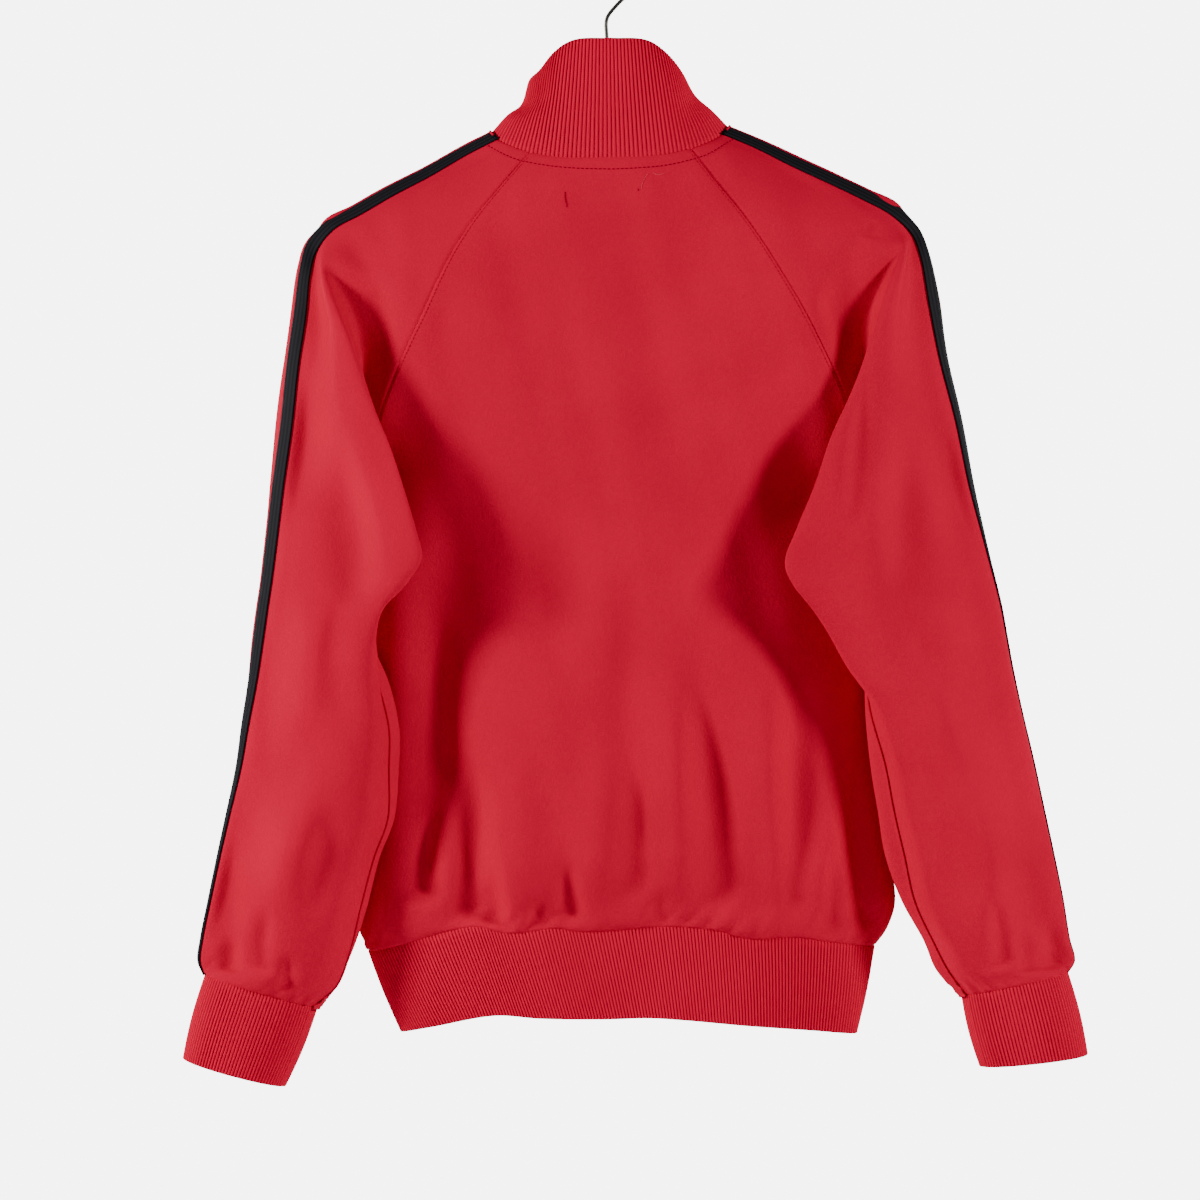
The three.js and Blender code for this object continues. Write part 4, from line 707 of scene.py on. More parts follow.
def seam_rows(grid):
    """Adds rows close beside the first and last ones, where the cloth turns into its seam."""
    near = (0.25, 0.55)
    top = [mix(grid[0], grid[1], s) for s in near]
    bottom = [mix(grid[-2], grid[-1], 1 - s) for s in near[::-1]]
    return np.concatenate([grid[:1], top, grid[1:-1], bottom, grid[-1:]])


def fold_depth(points, folds, scale):
    depth = np.zeros(points.shape[:-1])
    for fold in folds:
        run = np.array((fold["x2"] - fold["x1"], fold["z2"] - fold["z1"]), float)
        reach = np.linalg.norm(run)
        along_way = run / reach
        side_way = np.array((-along_way[1], along_way[0]))
        off = np.stack([points[..., 0] - fold["x1"], points[..., 2] - fold["z1"]], -1)
        t = off @ along_way / reach
        side = off @ side_way - fold["bow"] * np.sin(np.pi * np.clip(t, 0, 1))
        fade = step_up(0, fold["head"], t) * step_up(0, fold["foot"], 1 - t)
        spread = FOLD_SPREAD["head"] + FOLD_SPREAD["more"] * np.clip(t, 0, 1)
        width = fold["width"] * spread * scale["width"]
        depth += fold["depth"] * scale["depth"] * np.exp(-((side / width) ** 2) / 2) * fade
    for wave in UNDULATIONS:
        run = points[..., 0] / wave["across"] + points[..., 2] / wave["down"]
        depth += wave["depth"] * np.sin(2 * np.pi * run + wave["phase"])
    return depth


def gather_depth(d, kind):
    """Small uneven gathers above a rib, from the distances along it and up from it."""
    gathers, strength, along, up = GATHERS[kind], GATHER_STRENGTH, d["first"], d["bottom"]
    drift = GATHER_DRIFT["turn"] * np.sin(along / GATHER_DRIFT["length"])
    wave = np.sin(2 * np.pi * along / gathers["pitch"] + drift)
    uneven = strength["middle"] + strength["change"] * np.sin(along / strength["length"] + strength["phase"])
    rise = np.exp(-((up / gathers["reach"]) ** 2)) * step_up(0, GATHER_RISE, up)
    return gathers["depth"] * wave * uneven * rise


def seam_depth(grid, d, edges, is_front):
    """The dip of the cloth into its seams, slighter where two panels meet at an angle."""
    below = step_up(ARMPIT_Z + ARMPIT_FADE, ARMPIT_Z - ARMPIT_FADE, grid[..., 2])
    raglan = SEAM_DIP["front"] if is_front else 1
    total = 0
    for name in edges:
        share = mix(raglan, SEAM_DIP["below_armpit"], below) if name in ("first", "last") else 1
        total = total + SEAM_DIP["depth"] * share * np.exp(-((d[name] / SEAM_DIP["width"]) ** 2))
    return total


# Over these distances from a seam, or from the tape's middle, the folds fade in
STILL = dict(top=22, bottom=7, first=22, last=22, tape=16)


def shaped(grid, hint, folds, seams, kind, tape_edge=None):
    """A panel's grid with its folds, gathers and seam dips, kept still at its seams and at the tape."""
    grid = seam_rows(grid)
    d = edge_distances(grid)
    still = 1.0
    for name in seams:
        still = still * step_up(0, STILL[name], d[name])
    if tape_edge:
        still = still * step_up(TAPE_WIDTH / 2, STILL["tape"], d[tape_edge])
    scale = FOLD_SCALE["body" if kind == "hem" else "sleeve"]
    depth = fold_depth(grid, folds, scale) * still + seam_depth(grid, d, seams, hint[1] < 0)
    gathers = gather_depth(d, kind)
    if tape_edge:
        gathers = gathers * step_up(TAPE_WIDTH / 2, STILL["tape"], d[tape_edge])
    normals = grid_normals(grid, hint)
    return grid - normals * (depth + gathers)[..., None]


def shell(outer, inner, is_round=False):
    """Corners and faces of a closed wall between two grids of the same size."""
    rows, columns = outer.shape[:2]
    kept = columns - 1 if is_round else columns
    corners = np.concatenate([outer[:, :kept].reshape(-1, 3), inner[:, :kept].reshape(-1, 3)])
    ids = np.arange(rows * kept).reshape(rows, kept)
    if is_round:
        ids = np.concatenate([ids, ids[:, :1]], axis=1)
    other = ids + rows * kept
    faces = [
        np.stack([ids[:-1, :-1], ids[1:, :-1], ids[1:, 1:], ids[:-1, 1:]], -1).reshape(-1, 4),
        np.stack([other[:-1, :-1], other[:-1, 1:], other[1:, 1:], other[1:, :-1]], -1).reshape(-1, 4),
        np.stack([ids[0, :-1], ids[0, 1:], other[0, 1:], other[0, :-1]], -1),
        np.stack([ids[-1, 1:], ids[-1, :-1], other[-1, :-1], other[-1, 1:]], -1),
    ]
    if not is_round:
        faces.append(np.stack([ids[1:, 0], ids[:-1, 0], other[:-1, 0], other[1:, 0]], -1))
        faces.append(np.stack([ids[:-1, -1], ids[1:, -1], other[1:, -1], other[:-1, -1]], -1))
    return corners, np.concatenate(faces)


def tube_faces(rings, sides, first=0):
    """The faces of a closed tube of so many rings, whose corners are numbered from first."""
    faces = []
    for ring in range(rings - 1):
        for k in range(sides):
            a, b = first + ring * sides + k, first + ring * sides + (k + 1) % sides
            faces.append((a, b, b + sides, a + sides))
    faces.append(tuple(first + k for k in range(sides - 1, -1, -1)))
    faces.append(tuple(first + (rings - 1) * sides + k for k in range(sides)))
    return faces


def make_mesh(name, corners, faces, material, smooth=True):
    mesh = bpy.data.meshes.new(name)
    mesh.from_pydata((corners * MM).tolist(), [], [list(map(int, f)) for f in faces])
    mesh.validate()
    flags = np.full(len(mesh.polygons), smooth)
    mesh.polygons.foreach_set("use_smooth", flags)
    mesh.materials.append(material)
    obj = bpy.data.objects.new(name, mesh)
    bpy.context.scene.collection.objects.link(obj)
    return obj


def outwards(corners, faces):
    """The same faces, turned round if the closed wall's volume comes out negative."""
    a, b, c, d = (corners[faces[:, k]] for k in range(4))
    volume = (a * np.cross(b, c)).sum() + (a * np.cross(c, d)).sum()
    return faces if volume > 0 else faces[:, ::-1]


def keep_distances(mesh, coordinates):
    """Keeps the cloth's own distances across and along, in metres, as the mesh's map. A rib wall has the
    number of ribs in place of the distance across."""
    layer = mesh.uv_layers.new(name="cloth")
    loops = np.empty(len(mesh.loops), int)
    mesh.loops.foreach_get("vertex_index", loops)
    layer.data.foreach_set("uv", (coordinates[loops] * MM).reshape(-1).astype(np.float32))


def add_wall(name, node, outer, inner, material, is_round=False, ribs=None):
    corners, faces = shell(outer, inner, is_round)
    obj = make_mesh(name, corners, outwards(corners, faces), material)
    d = edge_distances(outer)
    kept = outer.shape[1] - 1 if is_round else outer.shape[1]
    across = d["first"] if ribs is None else ribs / MM
    flat = np.stack([across[:, :kept], d["top"][:, :kept]], -1).reshape(-1, 2)
    keep_distances(obj.data, np.concatenate([flat, flat]))
    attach(obj, "root")
    if node:
        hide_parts(node)
    return obj


# Materials, all made from noise and waves in the cloth's own coordinates
def new_material(name):
    material = bpy.data.materials.new(name)
    material.use_nodes = True
    tree = material.node_tree
    shader = next(n for n in tree.nodes if n.type == "BSDF_PRINCIPLED")
    return material, tree, shader


def node_of(tree, kind, **values):
    """A new node. Each value goes to the node's own setting of that name, or else to its input."""
    made = tree.nodes.new(kind)
    for key, value in values.items():
        if hasattr(made, key):
            setattr(made, key, value)
        else:
            made.inputs[key].default_value = value
    return made


def put(tree, target, given):
    """Gives an input its value, or links it to another node's output."""
    if isinstance(given, bpy.types.NodeSocket):
        tree.links.new(given, target)
    else:
        target.default_value = given


def math_node(tree, operation, *values):
    """The result of a calculation with numbers or other nodes' outputs."""
    made = node_of(tree, "ShaderNodeMath", operation=operation)
    for target, given in zip(made.inputs, values):
        put(tree, target, given)
    return made.outputs[0]


def two_colours(tree, share, dark, light):
    made = node_of(tree, "ShaderNodeMix", data_type="RGBA")
    put(tree, made.inputs["A"], dark)
    put(tree, made.inputs["B"], light)
    put(tree, made.inputs["Factor"], share)
    return made.outputs["Result"]


def noise_of(tree, place, scale, detail):
    made = node_of(tree, "ShaderNodeTexNoise", Scale=scale, Detail=detail)
    tree.links.new(place, made.inputs["Vector"])
    return made.outputs["Fac"]


def bump_of(tree, height, strength, distance):
    made = node_of(tree, "ShaderNodeBump", Strength=strength, Distance=distance)
    tree.links.new(height, made.inputs["Height"])
    return made.outputs["Normal"]


def finish(tree, shader, values):
    for name, given in values.items():
        put(tree, shader.inputs[name], given)


SLOW_SHADE = dict(scale=14.0, detail=3.0)
FINE_SHARE = 0.35
KNIT_RELIEF = 0.0006
SHEEN_TINT = (1.0, 0.12, 0.18, 1)
TAPE_BANDS = 96.0
TAPE_RELIEF = dict(strength=0.3, distance=0.0004)
TAPE_COLOURS = dict(dark=(0.003, 0.0028, 0.0045, 1), light=(0.011, 0.0105, 0.014, 1))


def cloth_material(name, light, dark, roughness, sheen, bump, scale, groove_shade=None):
    """Knit: a slow change of shade, a fine loop pattern in its height and a soft sheen. A rib knit
    also has painted shade in its grooves, a darker colour between each two ribs."""
    material, tree, shader = new_material(name)
    place = tree.nodes.new("ShaderNodeTexCoord").outputs["Object"]
    slow = noise_of(tree, place, **SLOW_SHADE)
    fine = noise_of(tree, place, scale, detail=2.0)
    shade = math_node(tree, "MULTIPLY_ADD", fine, FINE_SHARE, slow)
    colour = two_colours(tree, shade, (*dark, 1), (*light, 1))
    # The grooves between the ribs take a darker colour: painted shade, where shade falls between the ribs
    if groove_shade:
        ribs = node_of(tree, "ShaderNodeUVMap", uv_map="cloth")
        number = tree.nodes.new("ShaderNodeSeparateXYZ")
        tree.links.new(ribs.outputs["UV"], number.inputs[0])
        turns = math_node(tree, "MULTIPLY", number.outputs["X"], 2 * math.pi)
        wave = math_node(tree, "COSINE", turns)
        unshaded_share = math_node(tree, "MULTIPLY_ADD", wave, 0.5, 0.5)
        colour = two_colours(tree, unshaded_share, (*groove_shade, 1), colour)
    finish(tree, shader, {
        "Base Color": colour,
        "Normal": bump_of(tree, fine, bump, KNIT_RELIEF),
        "Roughness": roughness,
        "Sheen Weight": sheen,
        "Sheen Roughness": 0.5,
        "Sheen Tint": SHEEN_TINT,
        "Specular IOR Level": 0.06,
    })
    return material


def tape_material():
    """Black woven tape with faint lengthwise bands."""
    material, tree, shader = new_material("black_tape")
    place = node_of(tree, "ShaderNodeUVMap", uv_map="cloth").outputs["UV"]
    bands = node_of(tree, "ShaderNodeTexWave", wave_type="BANDS", bands_direction="X", Scale=TAPE_BANDS)
    tree.links.new(place, bands.inputs["Vector"])
    weave = noise_of(tree, place, scale=1500.0, detail=1.0)
    finish(tree, shader, {
        "Base Color": two_colours(tree, bands.outputs["Fac"], **TAPE_COLOURS),
        "Normal": bump_of(tree, weave, **TAPE_RELIEF),
        "Roughness": 0.7,
        "Specular IOR Level": 0.12,
    })
    return material


def plain_material(name, colour, roughness, metallic=0.0, grain=0.0, specular=0.5):
    """A hard or thread finish, with a little grain in its colour."""
    material, tree, shader = new_material(name)
    place = tree.nodes.new("ShaderNodeTexCoord").outputs["Object"]
    noise = noise_of(tree, place, scale=600.0, detail=2.0)
    dark = (*(c * (1 - grain) for c in colour), 1)
    finish(tree, shader, {
        "Base Color": two_colours(tree, noise, dark, (*colour, 1)),
        "Roughness": roughness,
        "Metallic": metallic,
        "Specular IOR Level": specular,
    })
    return material


KNIT = cloth_material("red_knit", light=(0.55, 0.0, 0.030), dark=(0.42, 0.0, 0.021), roughness=0.8,
                      sheen=0.04, bump=0.5, scale=700.0)
# The rib knit's colours are lighter than the plain knit's: painted light, lifting the rib that its grooves
# darken. Its groove colour is painted shade
RIB = cloth_material("red_rib", light=(0.68, 0.0, 0.037), dark=(0.56, 0.0, 0.028), roughness=0.82,
                     sheen=0.05, bump=0.25, scale=900.0, groove_shade=(0.44, 0.0, 0.024))
TAPE = tape_material()
THREAD = plain_material("red_thread", (0.38, 0.0, 0.018), 0.8, grain=0.2, specular=0.06)
DARK_THREAD = plain_material("dark_thread", (0.20, 0.0, 0.010), 0.8, grain=0.3, specular=0.06)
PALE_THREAD = plain_material("pale_thread", (0.72, 0.03, 0.07), 0.75, grain=0.2)
ZIP_CLOTH = plain_material("zip_tape", (0.55, 0.010, 0.024), 0.8, grain=0.2)
METAL = plain_material("zip_metal", (0.58, 0.58, 0.60), 0.3, metallic=1.0, grain=0.06)
BAR = plain_material("hanger_plastic", (0.03, 0.03, 0.028), 0.45, grain=0.1)
WIRE = plain_material("hanger_wire", (0.05, 0.05, 0.04), 0.38, metallic=0.7, grain=0.1)


# Panels
def panel_grids():
    """Each panel's grid, the way it faces, its folds, its seams, the rib below it and its tape's edge."""
    ends = ("top", "bottom")
    back = torso_grid("back", -90, 90, TORSO_COLUMNS["back"])
    made = {"back": (back, (0, 1, 0), BACK_FOLDS, (*ends, "first", "last"), "hem")}
    for side, sign in SIGNS.items():
        front = torso_grid(side, sign * 180, sign * 90, TORSO_COLUMNS["front"])
        made[f"front_{side}"] = (front, (0, -1, 0), FRONT_FOLDS, (*ends, "last"), "hem")
    for side, sign in SIGNS.items():
        for part, y, seam, tape_edge in (("back", 0.5, "first", "last"), ("front", -0.5, "last", "first")):
            grid = sleeve_grid(side, part)
            made[f"sleeve_{part}_{side}"] = (
                grid, (sign, y, 0), SLEEVE_FOLDS[side], (*ends, seam), "cuff", tape_edge)
    return made


BASE = panel_grids()
GRIDS = {}
NORMALS = {}
for panel, (base, hint, *shaping) in BASE.items():
    GRIDS[panel] = shaped(base, hint, *shaping)
    NORMALS[panel] = grid_normals(GRIDS[panel], hint)


for panel in BASE:
    outer = GRIDS[panel]
    inner = outer - NORMALS[panel] * CLOTH_THICKNESS
    wall = add_wall(panel + "_cloth", panel, outer, inner, KNIT)

# Tapes lie over the joins of the sleeve halves, a little thicker along the middle
TAPE_RAISED = dict(height=0.15, power=8)
TAPE_UNDER = 0.12
for side, sign in SIGNS.items():
    base = sleeve_grid(side, "tape")
    normals = grid_normals(base, (sign, 0.5, 0))
    across = np.linspace(-1, 1, base.shape[1])
    raised = TAPE_RAISED["height"] * (1 - across ** TAPE_RAISED["power"])[None, :, None]
    outer = base + normals * (SEAM_GAP + TAPE_THICKNESS + raised)
    inner = base + normals * TAPE_UNDER
    wall = add_wall(f"tape_{side}_cloth", f"tape_{side}", outer, inner, TAPE)


# Rib knit: rounded ribs outside a plain inside. Beyond its seam the wall goes on a little way under the
# panel, as a seam allowance, so that no light comes through the seam.
ALLOWANCE = dict(reach=2.2, outer=1.9, inner=2.8)
# The free end is a folded edge, rounded by rows set at these distances from it
FOLD_EDGE = dict(radius=1.2, rows=np.array((1.2, 0.8, 0.4, 0.15, 0)))
# Points across a rib, rows along it, and the share of its length that turns into the seam
POINTS_PER_RIB = 6
RIB_ROWS = dict(collar=22, hem_rib=14, cuff=14)
SEAM_REACH = 0.3
COLLAR_TOP_POINTS = 241
HEM_EDGE_POINTS = 481


def rib_wall(top_line, end_line, rows, swell, hint, is_round, held, seam_normals, extra=None):
    """The outer and inner grids of a rib wall between two lines, and the number of ribs along it. Rows are
    its rows between the lines, held is the end that is sewn on and extra its dents or waves."""
    count = round(lengths_of(top_line)[-1] / RIB_PITCH) * POINTS_PER_RIB
    top, end = spaced(top_line, count), spaced(end_line, count)
    length = np.linalg.norm(end - top, axis=1).mean()
    shares = np.concatenate([np.linspace(0, 1, rows)[:-1], 1 - FOLD_EDGE["rows"] / length])
    from_end = (1 - shares) * length
    if held == "bottom":
        shares, from_end = 1 - shares[::-1], from_end[::-1]
    shares, rows = shares[:, None, None], len(shares) - 1
    grid = mix(top[None], end[None], shares)
    normals = grid_normals(grid, hint, is_round)
    seam_row, beyond, seam_share = (0, 1, 0) if held == "top" else (rows, rows - 1, 1)
    seam = seam_normals(grid[seam_row], normals[seam_row])
    near = np.clip(1 - np.abs(shares - seam_share) / SEAM_REACH, 0, 1)
    normals = unit(mix(normals, seam[None], near))
    ribs_across = np.arange(count + 1) / POINTS_PER_RIB
    phase = ribs_across * 2 * np.pi
    ribbing = RIB_HEIGHT * (np.sqrt(0.5 + 0.5 * np.cos(phase)) - 1)
    bulge = swell * np.sin(np.pi * shares)
    lift = bulge + ribbing[None, :, None]
    if extra:
        lift = lift + extra(grid)[..., None]
        bulge = bulge + extra(grid)[..., None]
    round_by = np.clip(1 - from_end / FOLD_EDGE["radius"], 0, 1)
    inset = (FOLD_EDGE["radius"] * (1 - np.sqrt(1 - round_by**2)))[:, None, None]
    outer, inner = grid + normals * (lift - inset), grid + normals * (bulge + inset - RIB_THICKNESS)
    under = grid[seam_row] + unit(grid[seam_row] - grid[beyond]) * ALLOWANCE["reach"]
    order = slice(None) if held == "top" else slice(None, None, -1)
    outer, inner = (
        np.concatenate([(under - seam * ALLOWANCE[name])[None], grid[order]])[order]
        for name, grid in (("outer", outer), ("inner", inner)))
    return outer, inner, np.broadcast_to(ribs_across, outer.shape[:2])


def add_rib(node, cut_name, lines, hint, held, seam_normals, swell=RIB_SWELL, extra=None, is_round=False):
    wall = rib_wall(*lines, RIB_ROWS[cut_name], swell, hint, is_round, held, seam_normals, extra)
    outer, inner, ribs = wall
    add_wall(node + "_cloth", node, outer, inner, RIB, is_round, ribs)


def chain(*lines):
    """One line through several that meet end to end."""
    return np.concatenate([lines[0]] + [line[1:] for line in lines[1:]])


def level(points, normals):
    return unit(normals * (1, 1, 0))


def own(points, normals):
    return normals


def first_row(panel):
    return BASE[panel][0][0]


def last_row(panel):
    return BASE[panel][0][-1]


neck_line = chain(
    first_row("front_left"),
    chain(first_row("sleeve_back_left"), first_row("sleeve_front_left"))[::-1],
    first_row("back")[::-1],
    chain(first_row("sleeve_back_right"), first_row("sleeve_front_right")),
    first_row("front_right")[::-1],
)
collar_angle = zip_side(COLLAR_TOP_WIDTH)
collar_top = np.array([
    ring_point(a, COLLAR_TOP_WIDTH, COLLAR_TOP_BACK, COLLAR_TOP_FRONT, COLLAR_TOP_HEIGHTS, 0)
    for a in np.linspace(collar_angle, -collar_angle, COLLAR_TOP_POINTS)
])
# Soft dents of the standing collar: centre, half sizes, depth and side, 1 for back, -1 for front, 0 for both
COLLAR_DENTS = rows_of("x z wide high depth back", [
    (60, -97, 9, 8, -4.6, 0),
    (66, -114, 9, 7, 3.6, 0),
    (54, -106, 10, 12, 3, 1),
    (40, -86, 8, 20, -1.4, 1),
    (-62, -112, 9, 14, 2.6, 1),
    (-44, -92, 9, 24, -1.2, 1),
    (8, -104, 26, 22, 0.8, 1),
    (34, -140, 12, 16, 1.4, -1),
    (-36, -150, 13, 16, 1.6, -1),
])
DENT_SIDE = dict(none=-4, full=8)
DENT_FADE = 0.15


def collar_dents(grid):
    lift = np.zeros(grid.shape[:2])
    for dent in COLLAR_DENTS:
        across = (grid[..., 0] - dent["x"]) / dent["wide"]
        down = (grid[..., 2] - dent["z"]) / dent["high"]
        depth_there = grid[..., 1] * dent["back"]
        on_side = step_up(DENT_SIDE["none"], DENT_SIDE["full"], depth_there) if dent["back"] else 1
        lift -= dent["depth"] * np.exp(-(across**2 + down**2)) * on_side
    ends = step_up(0, DENT_FADE, np.linspace(0, 1, len(grid)))[::-1]
    return lift * ends[:, None]


add_rib("collar", "collar", (collar_top, neck_line), (0, 1, 0), "bottom",
        lambda points, normals: neck_normals(points), swell=0, extra=collar_dents)

# Waves of the hem rib across the back and the front: middle, half width and depth
HEM_WAVES = rows_of("x wide depth", [
    (-150, 16, 1.6), (-96, 20, -1.4), (-20, 24, 1.6), (36, 20, -1.2), (92, 18, 1.8), (128, 14, -1.2),
])
HEM_WAVE_TURN = 0.75


def hem_waves(grid):
    lift = np.zeros(grid.shape[:2])
    for wave in HEM_WAVES:
        lift -= wave["depth"] * np.exp(-(((grid[..., 0] - wave["x"]) / wave["wide"]) ** 2))
    rise = np.sin(np.pi * np.linspace(0, 1, len(grid)) * HEM_WAVE_TURN)
    return lift * rise[:, None]


hem_top = chain(last_row("front_left"), last_row("back")[::-1], last_row("front_right")[::-1])
hem_from = zip_side(HEM_EDGE_WIDTHS["left"], TORSO_POWER)
hem_to = -zip_side(HEM_EDGE_WIDTHS["right"], TORSO_POWER)
turn = np.radians(np.linspace(hem_from, hem_to, HEM_EDGE_POINTS))
hem_half = np.where(np.sin(turn) > 0, HEM_EDGE_WIDTHS["left"], -HEM_EDGE_WIDTHS["right"])
hem_x = hem_half * np.abs(np.sin(turn)) ** (2 / TORSO_POWER)
hem_depth = np.where(np.cos(turn) > 0, HEM_EDGE_WIDTHS["back"], -HEM_EDGE_WIDTHS["front"])
hem_end = np.stack([hem_x, hem_depth * np.cos(turn), read(HEM_EDGE, "x", "z", hem_x)], -1)
add_rib("hem_rib", "hem_rib", (hem_top, hem_end), (0, 1, 0), "top", level, extra=hem_waves)

for side, sign in SIGNS.items():
    seam_line = chain(last_row(f"sleeve_back_{side}"), last_row(f"sleeve_front_{side}"))
    seam_line[-1] = seam_line[0]
    end_line = smooth_line(cuff_places(side, "end"))
    end_line[-1] = end_line[0]
    add_rib(f"cuff_{side}", "cuff", (seam_line, end_line), (sign, 0, 0), "top", own, is_round=True)

# A stitch: where its rings lie along it and how wide each is, its sides and its height above the cloth
STITCH_RINGS = np.array((0, 0.2, 0.8, 1))
STITCH_WIDTHS = (0.35, 1, 1, 0.35)
STITCH_SIDES = 6
STITCH_LIFT = 0.1


# Stitches: short rounded threads along a path on the cloth
def stitches(name, paths, material, length, pitch, radius):
    corners, faces = [], []
    angles = np.radians(np.arange(STITCH_SIDES) * 360 / STITCH_SIDES)
    for path, normals in paths:
        lengths = lengths_of(path)
        for start in np.arange(pitch / 2, lengths[-1] - length, pitch):
            spots = points_at(path, lengths, start + STITCH_RINGS * length)
            ups = unit(points_at(normals, lengths, start + STITCH_RINGS * length))
            along = unit(spots[-1] - spots[0])
            faces += tube_faces(len(STITCH_RINGS), STITCH_SIDES, len(corners))
            for spot, up, wide in zip(spots, ups, STITCH_WIDTHS):
                side = unit(np.cross(along, up))
                for angle in angles:
                    ring = side * math.cos(angle) + up * math.sin(angle)
                    corners.append(spot + up * STITCH_LIFT + ring * radius * wide)
    obj = make_mesh(name, np.array(corners), faces, material)
    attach(obj, "root")


def path_from(panel, edge, distance, span=(0, 1)):
    """The line at a distance from a panel's edge, with the cloth's normals along it."""
    grid, normals = GRIDS[panel], NORMALS[panel]
    d = edge_distances(grid)[edge]
    if edge in ("first", "last"):
        grid, normals, d = grid.swapaxes(0, 1), normals.swapaxes(0, 1), d.T
    columns = range(int(span[0] * grid.shape[1]), int(span[1] * grid.shape[1]))
    points, ups = [], []
    for c in columns:
        order = np.argsort(d[:, c])
        for source, made in ((grid, points), (normals, ups)):
            made.append([np.interp(distance, d[order, c], source[order, c, k]) for k in range(3)])
    return np.array(points), unit(np.array(ups))


NECK_STITCH = 9.8
RAGLAN_STITCH = 2.6
# Where the raglan stitching starts, as a share of the seam's rows, and the length at which it ends
RAGLAN_STITCH_FROM = 0.02
RAGLAN_STITCHED = 330
neck_paths = [path_from(p, "top", NECK_STITCH) for p in BASE]
stitches("neck_stitches", neck_paths, DARK_THREAD, pitch=3.2, length=2.2, radius=0.34)
seam_lengths = lengths_of(GRIDS["back"][:, 0])[1:]
stitched = (RAGLAN_STITCH_FROM, sum(seam_lengths < RAGLAN_STITCHED) / len(GRIDS["back"]))
raglan_paths = [path_from("back", edge, RAGLAN_STITCH, stitched) for edge in ("first", "last")]
raglan_paths += [path_from(f"front_{side}", "last", RAGLAN_STITCH, stitched) for side in SIGNS]
stitches("raglan_stitches", raglan_paths, THREAD, pitch=3.0, length=2.3, radius=0.24)

# What is left of a label's sewing near the neck: a short dark upright and a pale loose thread
MARK_POINTS = 9
LABEL_MARKS = rows_of("x1 z1 x2 z2 bow dark", [
    (32.4, -180, 31.6, -189, 0.3, True),
    (31.6, -188, 31.2, -192, -0.3, True),
    (-20.2, -177.6, -20.9, -180, 0.2, True),
    (-22.2, -179.5, -28, -166.7, -1.2, False),
    (-30, -166.3, -39.9, -166.5, 1.6, False),
])


def on_back(x, z):
    """The point of the back panel nearest to a place seen from behind, and its normal."""
    grid, normals = GRIDS["back"], NORMALS["back"]
    d = (grid[..., 0] - x) ** 2 + (grid[..., 2] - z) ** 2
    r, c = np.unravel_index(np.argmin(d), d.shape)
    normal = normals[r, c]
    off = (x - grid[r, c, 0]) * normal[0] + (z - grid[r, c, 2]) * normal[2]
    return point(x, grid[r, c, 1] - off / normal[1], z), normal


for is_dark, thread in ((True, DARK_THREAD), (False, PALE_THREAD)):
    paths = []
    for mark in (m for m in LABEL_MARKS if m["dark"] == is_dark):
        run = point(mark["x2"] - mark["x1"], 0, mark["z2"] - mark["z1"])
        side = unit(np.cross(run, (0, 1, 0)))
        spots = []
        for t in np.linspace(0, 1, MARK_POINTS):
            p = point(mark["x1"], 0, mark["z1"]) + run * t + side * mark["bow"] * math.sin(math.pi * t)
            spots.append(on_back(p[0], p[2]))
        paths.append((np.array([p for p, _ in spots]), np.array([n for _, n in spots])))
    stitches(f"label_marks_{'dark' if is_dark else 'pale'}", paths, thread,
             pitch=1.6, length=1.5, radius=0.3 if is_dark else 0.2)

# A tooth reaches past the middle by its hook; the chain's direction is measured a little way ahead
TEETH = dict(pitch=1.7, half_tall=0.62, hook=0.7, ahead=0.5, end_gap=1)
BLOCK_FACES = ((0, 1, 3, 2), (4, 6, 7, 5), (0, 4, 5, 1), (2, 3, 7, 6), (0, 2, 6, 4), (1, 5, 7, 3))


# Zip teeth, one pair of rows that meet in the middle
def zip_teeth():
    left, right = BASE["front_left"][0][:, 0], BASE["front_right"][0][:, 0]
    line = (left + right) / 2 if len(left) == len(right) else left.copy()
    line[:, 0] = 0
    line = np.concatenate([[point(0, -COLLAR_TOP_FRONT, ZIP_TOP)], line,
                           [point(0, HEM_EDGE_WIDTHS["front"], ZIP_BOTTOM + STOP_HEIGHT)]])
    lengths = lengths_of(line)
    corners, faces = [], []
    for k, at in enumerate(np.arange(TEETH["pitch"], lengths[-1] - TEETH["end_gap"], TEETH["pitch"])):
        middle = points_at(line, lengths, at)
        along = unit(points_at(line, lengths, at + TEETH["ahead"]) - middle)
        out = unit(np.cross(along, (1, 0, 0)))
        side = 1 if k % 2 else -1
        faces += [tuple(len(corners) + i for i in quad) for quad in BLOCK_FACES]
        for x in sorted((side * CHAIN_HALF_WIDTH, -side * TEETH["hook"])):
            for y in (-CHAIN_HALF_DEPTH, CHAIN_HALF_DEPTH):
                for z in (-TEETH["half_tall"], TEETH["half_tall"]):
                    corners.append(middle + point(x, 0, 0) + out * y + along * z)
    obj = make_mesh("zip_teeth", np.array(corners), faces, METAL, smooth=False)
    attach(obj, "root")
    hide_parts("zip_chain")


zip_teeth()


# The hanger's hook, round in section
def tube(name, line, radius, sides, material, node):
    line = np.asarray(line)
    along = unit(np.gradient(line, axis=0))
    side = np.broadcast_to(np.array((0.0, 1.0, 0.0)), line.shape)
    up = unit(np.cross(along, side))
    angles = np.linspace(0, 2 * np.pi, sides, endpoint=False)
    rings = line[:, None] + radius * (np.cos(angles)[None, :, None] * side[:, None]
                                      + np.sin(angles)[None, :, None] * up[:, None])
    obj = make_mesh(name, rings.reshape(-1, 3), tube_faces(len(line), sides), material)
    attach(obj, "root")
    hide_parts(node)


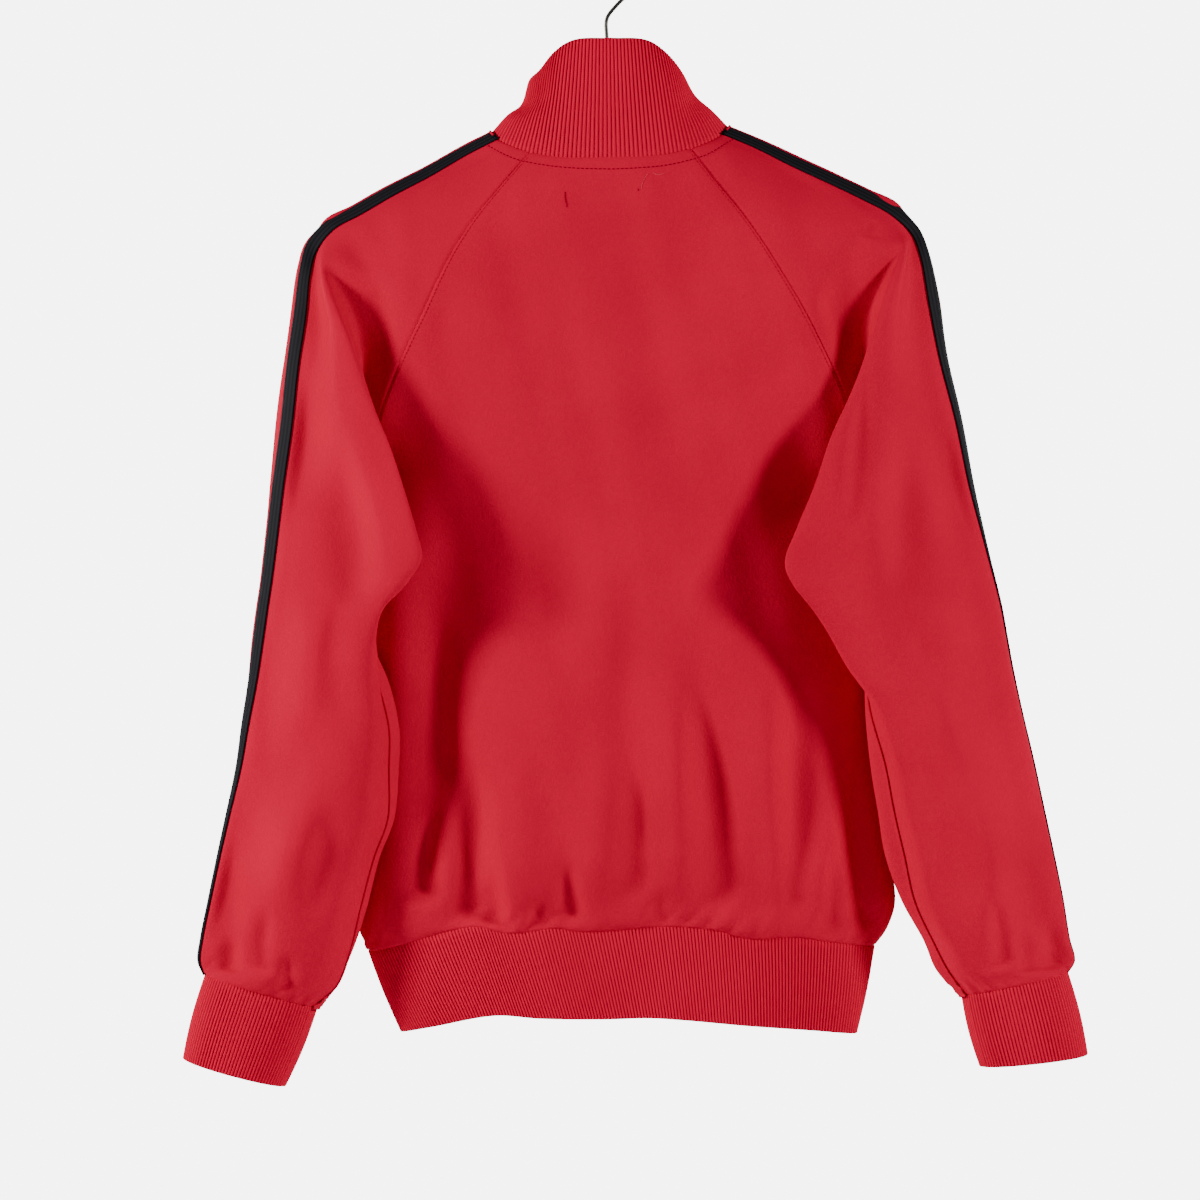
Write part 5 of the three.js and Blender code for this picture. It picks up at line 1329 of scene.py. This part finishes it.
ring = HOOK_RADIUS + WIRE_RADIUS
hook_angles = np.radians(np.linspace(HOOK_ARC["start"], HOOK_ARC["end"], HOOK_ARC["steps"] + 1))
hook = [point(STEM_X, 0, z) for z in STEM_HEIGHTS] + [point(HOOK_BEND["x"], 0, HOOK_BEND["z"])]
hook += [point(ring * math.cos(a), 0, ring * math.sin(a) - HOOK_RADIUS) for a in hook_angles]
hook_line = smooth_through(hook, [HOOK_FINE_STEPS] * (len(hook) - 1))
tube("hook_wire", hook_line, WIRE_RADIUS, HOOK_SIDES, WIRE, "hanger_hook")

# Every other CAD node keeps its own mesh and takes a finish
FINISHES = {
    "zip_tape_left": ZIP_CLOTH,
    "zip_tape_right": ZIP_CLOTH,
    "zip_stop": METAL,
    "zip_slider": METAL,
    "zip_pull": METAL,
    "hanger_bar": BAR,
}
for obj in bpy.data.objects:
    if obj.type == "MESH" and obj.name in FINISHES:
        obj.data.materials.clear()
        obj.data.materials.append(FINISHES[obj.name])

# Floor, light and camera, in metres
FLOOR = dict(size=3.2, z=-1.45)
BOARD = dict(size=3.6, y=-6.5, z=-0.476, glow=6.0)
WORLD_STRENGTH = 0.07
WHITE = (1, 1, 1, 1)
bpy.ops.mesh.primitive_plane_add(size=FLOOR["size"], location=(0, 0, FLOOR["z"]))
floor = bpy.context.object
floor.name = "floor"
floor.data.materials.append(plain_material("pale_floor", (0.86, 0.86, 0.86), 0.9, grain=0.02))

world = bpy.data.worlds.new("studio")
bpy.context.scene.world = world
world.use_nodes = True
background = next(n for n in world.node_tree.nodes if n.type == "BACKGROUND")
background.inputs["Color"].default_value = WHITE
background.inputs["Strength"].default_value = WORLD_STRENGTH

LIGHTS = rows_of("name at power size", [
    ("left_soft", (2.1, 0.8, 0.12), 68, 0.4),
    ("right_soft", (-2.0, 1.15, 0.2), 54, 0.36),
    ("top_soft", (0.0, 1.5, 1.4), 1.5, 1.2),
    ("low_soft", (0.2, 1.9, -1.35), 7.5, 0.9),
    ("front_left_soft", (1.8, -1.5, 0.4), 24, 0.7),
    ("front_right_soft", (-1.8, -1.5, 0.2), 15, 0.7),
])
TARGET = Vector((0, 0.03, -0.45))
for row in LIGHTS:
    data = bpy.data.lights.new(row["name"], "AREA")
    data.energy = row["power"]
    data.size = row["size"]
    lamp = bpy.data.objects.new(row["name"], data)
    lamp.location = row["at"]
    lamp.rotation_euler = (TARGET - Vector(row["at"])).to_track_quat("-Z", "Y").to_euler()
    bpy.context.scene.collection.objects.link(lamp)

# A white board far beyond the jacket
bpy.ops.mesh.primitive_plane_add(
    size=BOARD["size"], location=(0, BOARD["y"], BOARD["z"]), rotation=(math.radians(90), 0, 0))
board = bpy.context.object
board.name = "backdrop"
board_material, tree, shader = new_material("white_board")
finish(tree, shader, {"Base Color": WHITE, "Emission Color": WHITE, "Emission Strength": BOARD["glow"]})
board.data.materials.append(board_material)

camera_data = bpy.data.cameras.new("camera")
camera = bpy.data.objects.new("camera", camera_data)
bpy.context.scene.collection.objects.link(camera)
CAMERA_PLACE = Vector((0.00725, 3.0, -0.47575))
PHOTO_WIDTH = 0.870
PLANE_Y = 0.03
SENSOR_WIDTH = 36
camera.location = CAMERA_PLACE
camera.rotation_euler = (math.radians(90), 0, math.radians(180))
camera_data.sensor_width = SENSOR_WIDTH
camera_data.lens = SENSOR_WIDTH * (CAMERA_PLACE.y - PLANE_Y) / PHOTO_WIDTH
bpy.context.scene.camera = camera
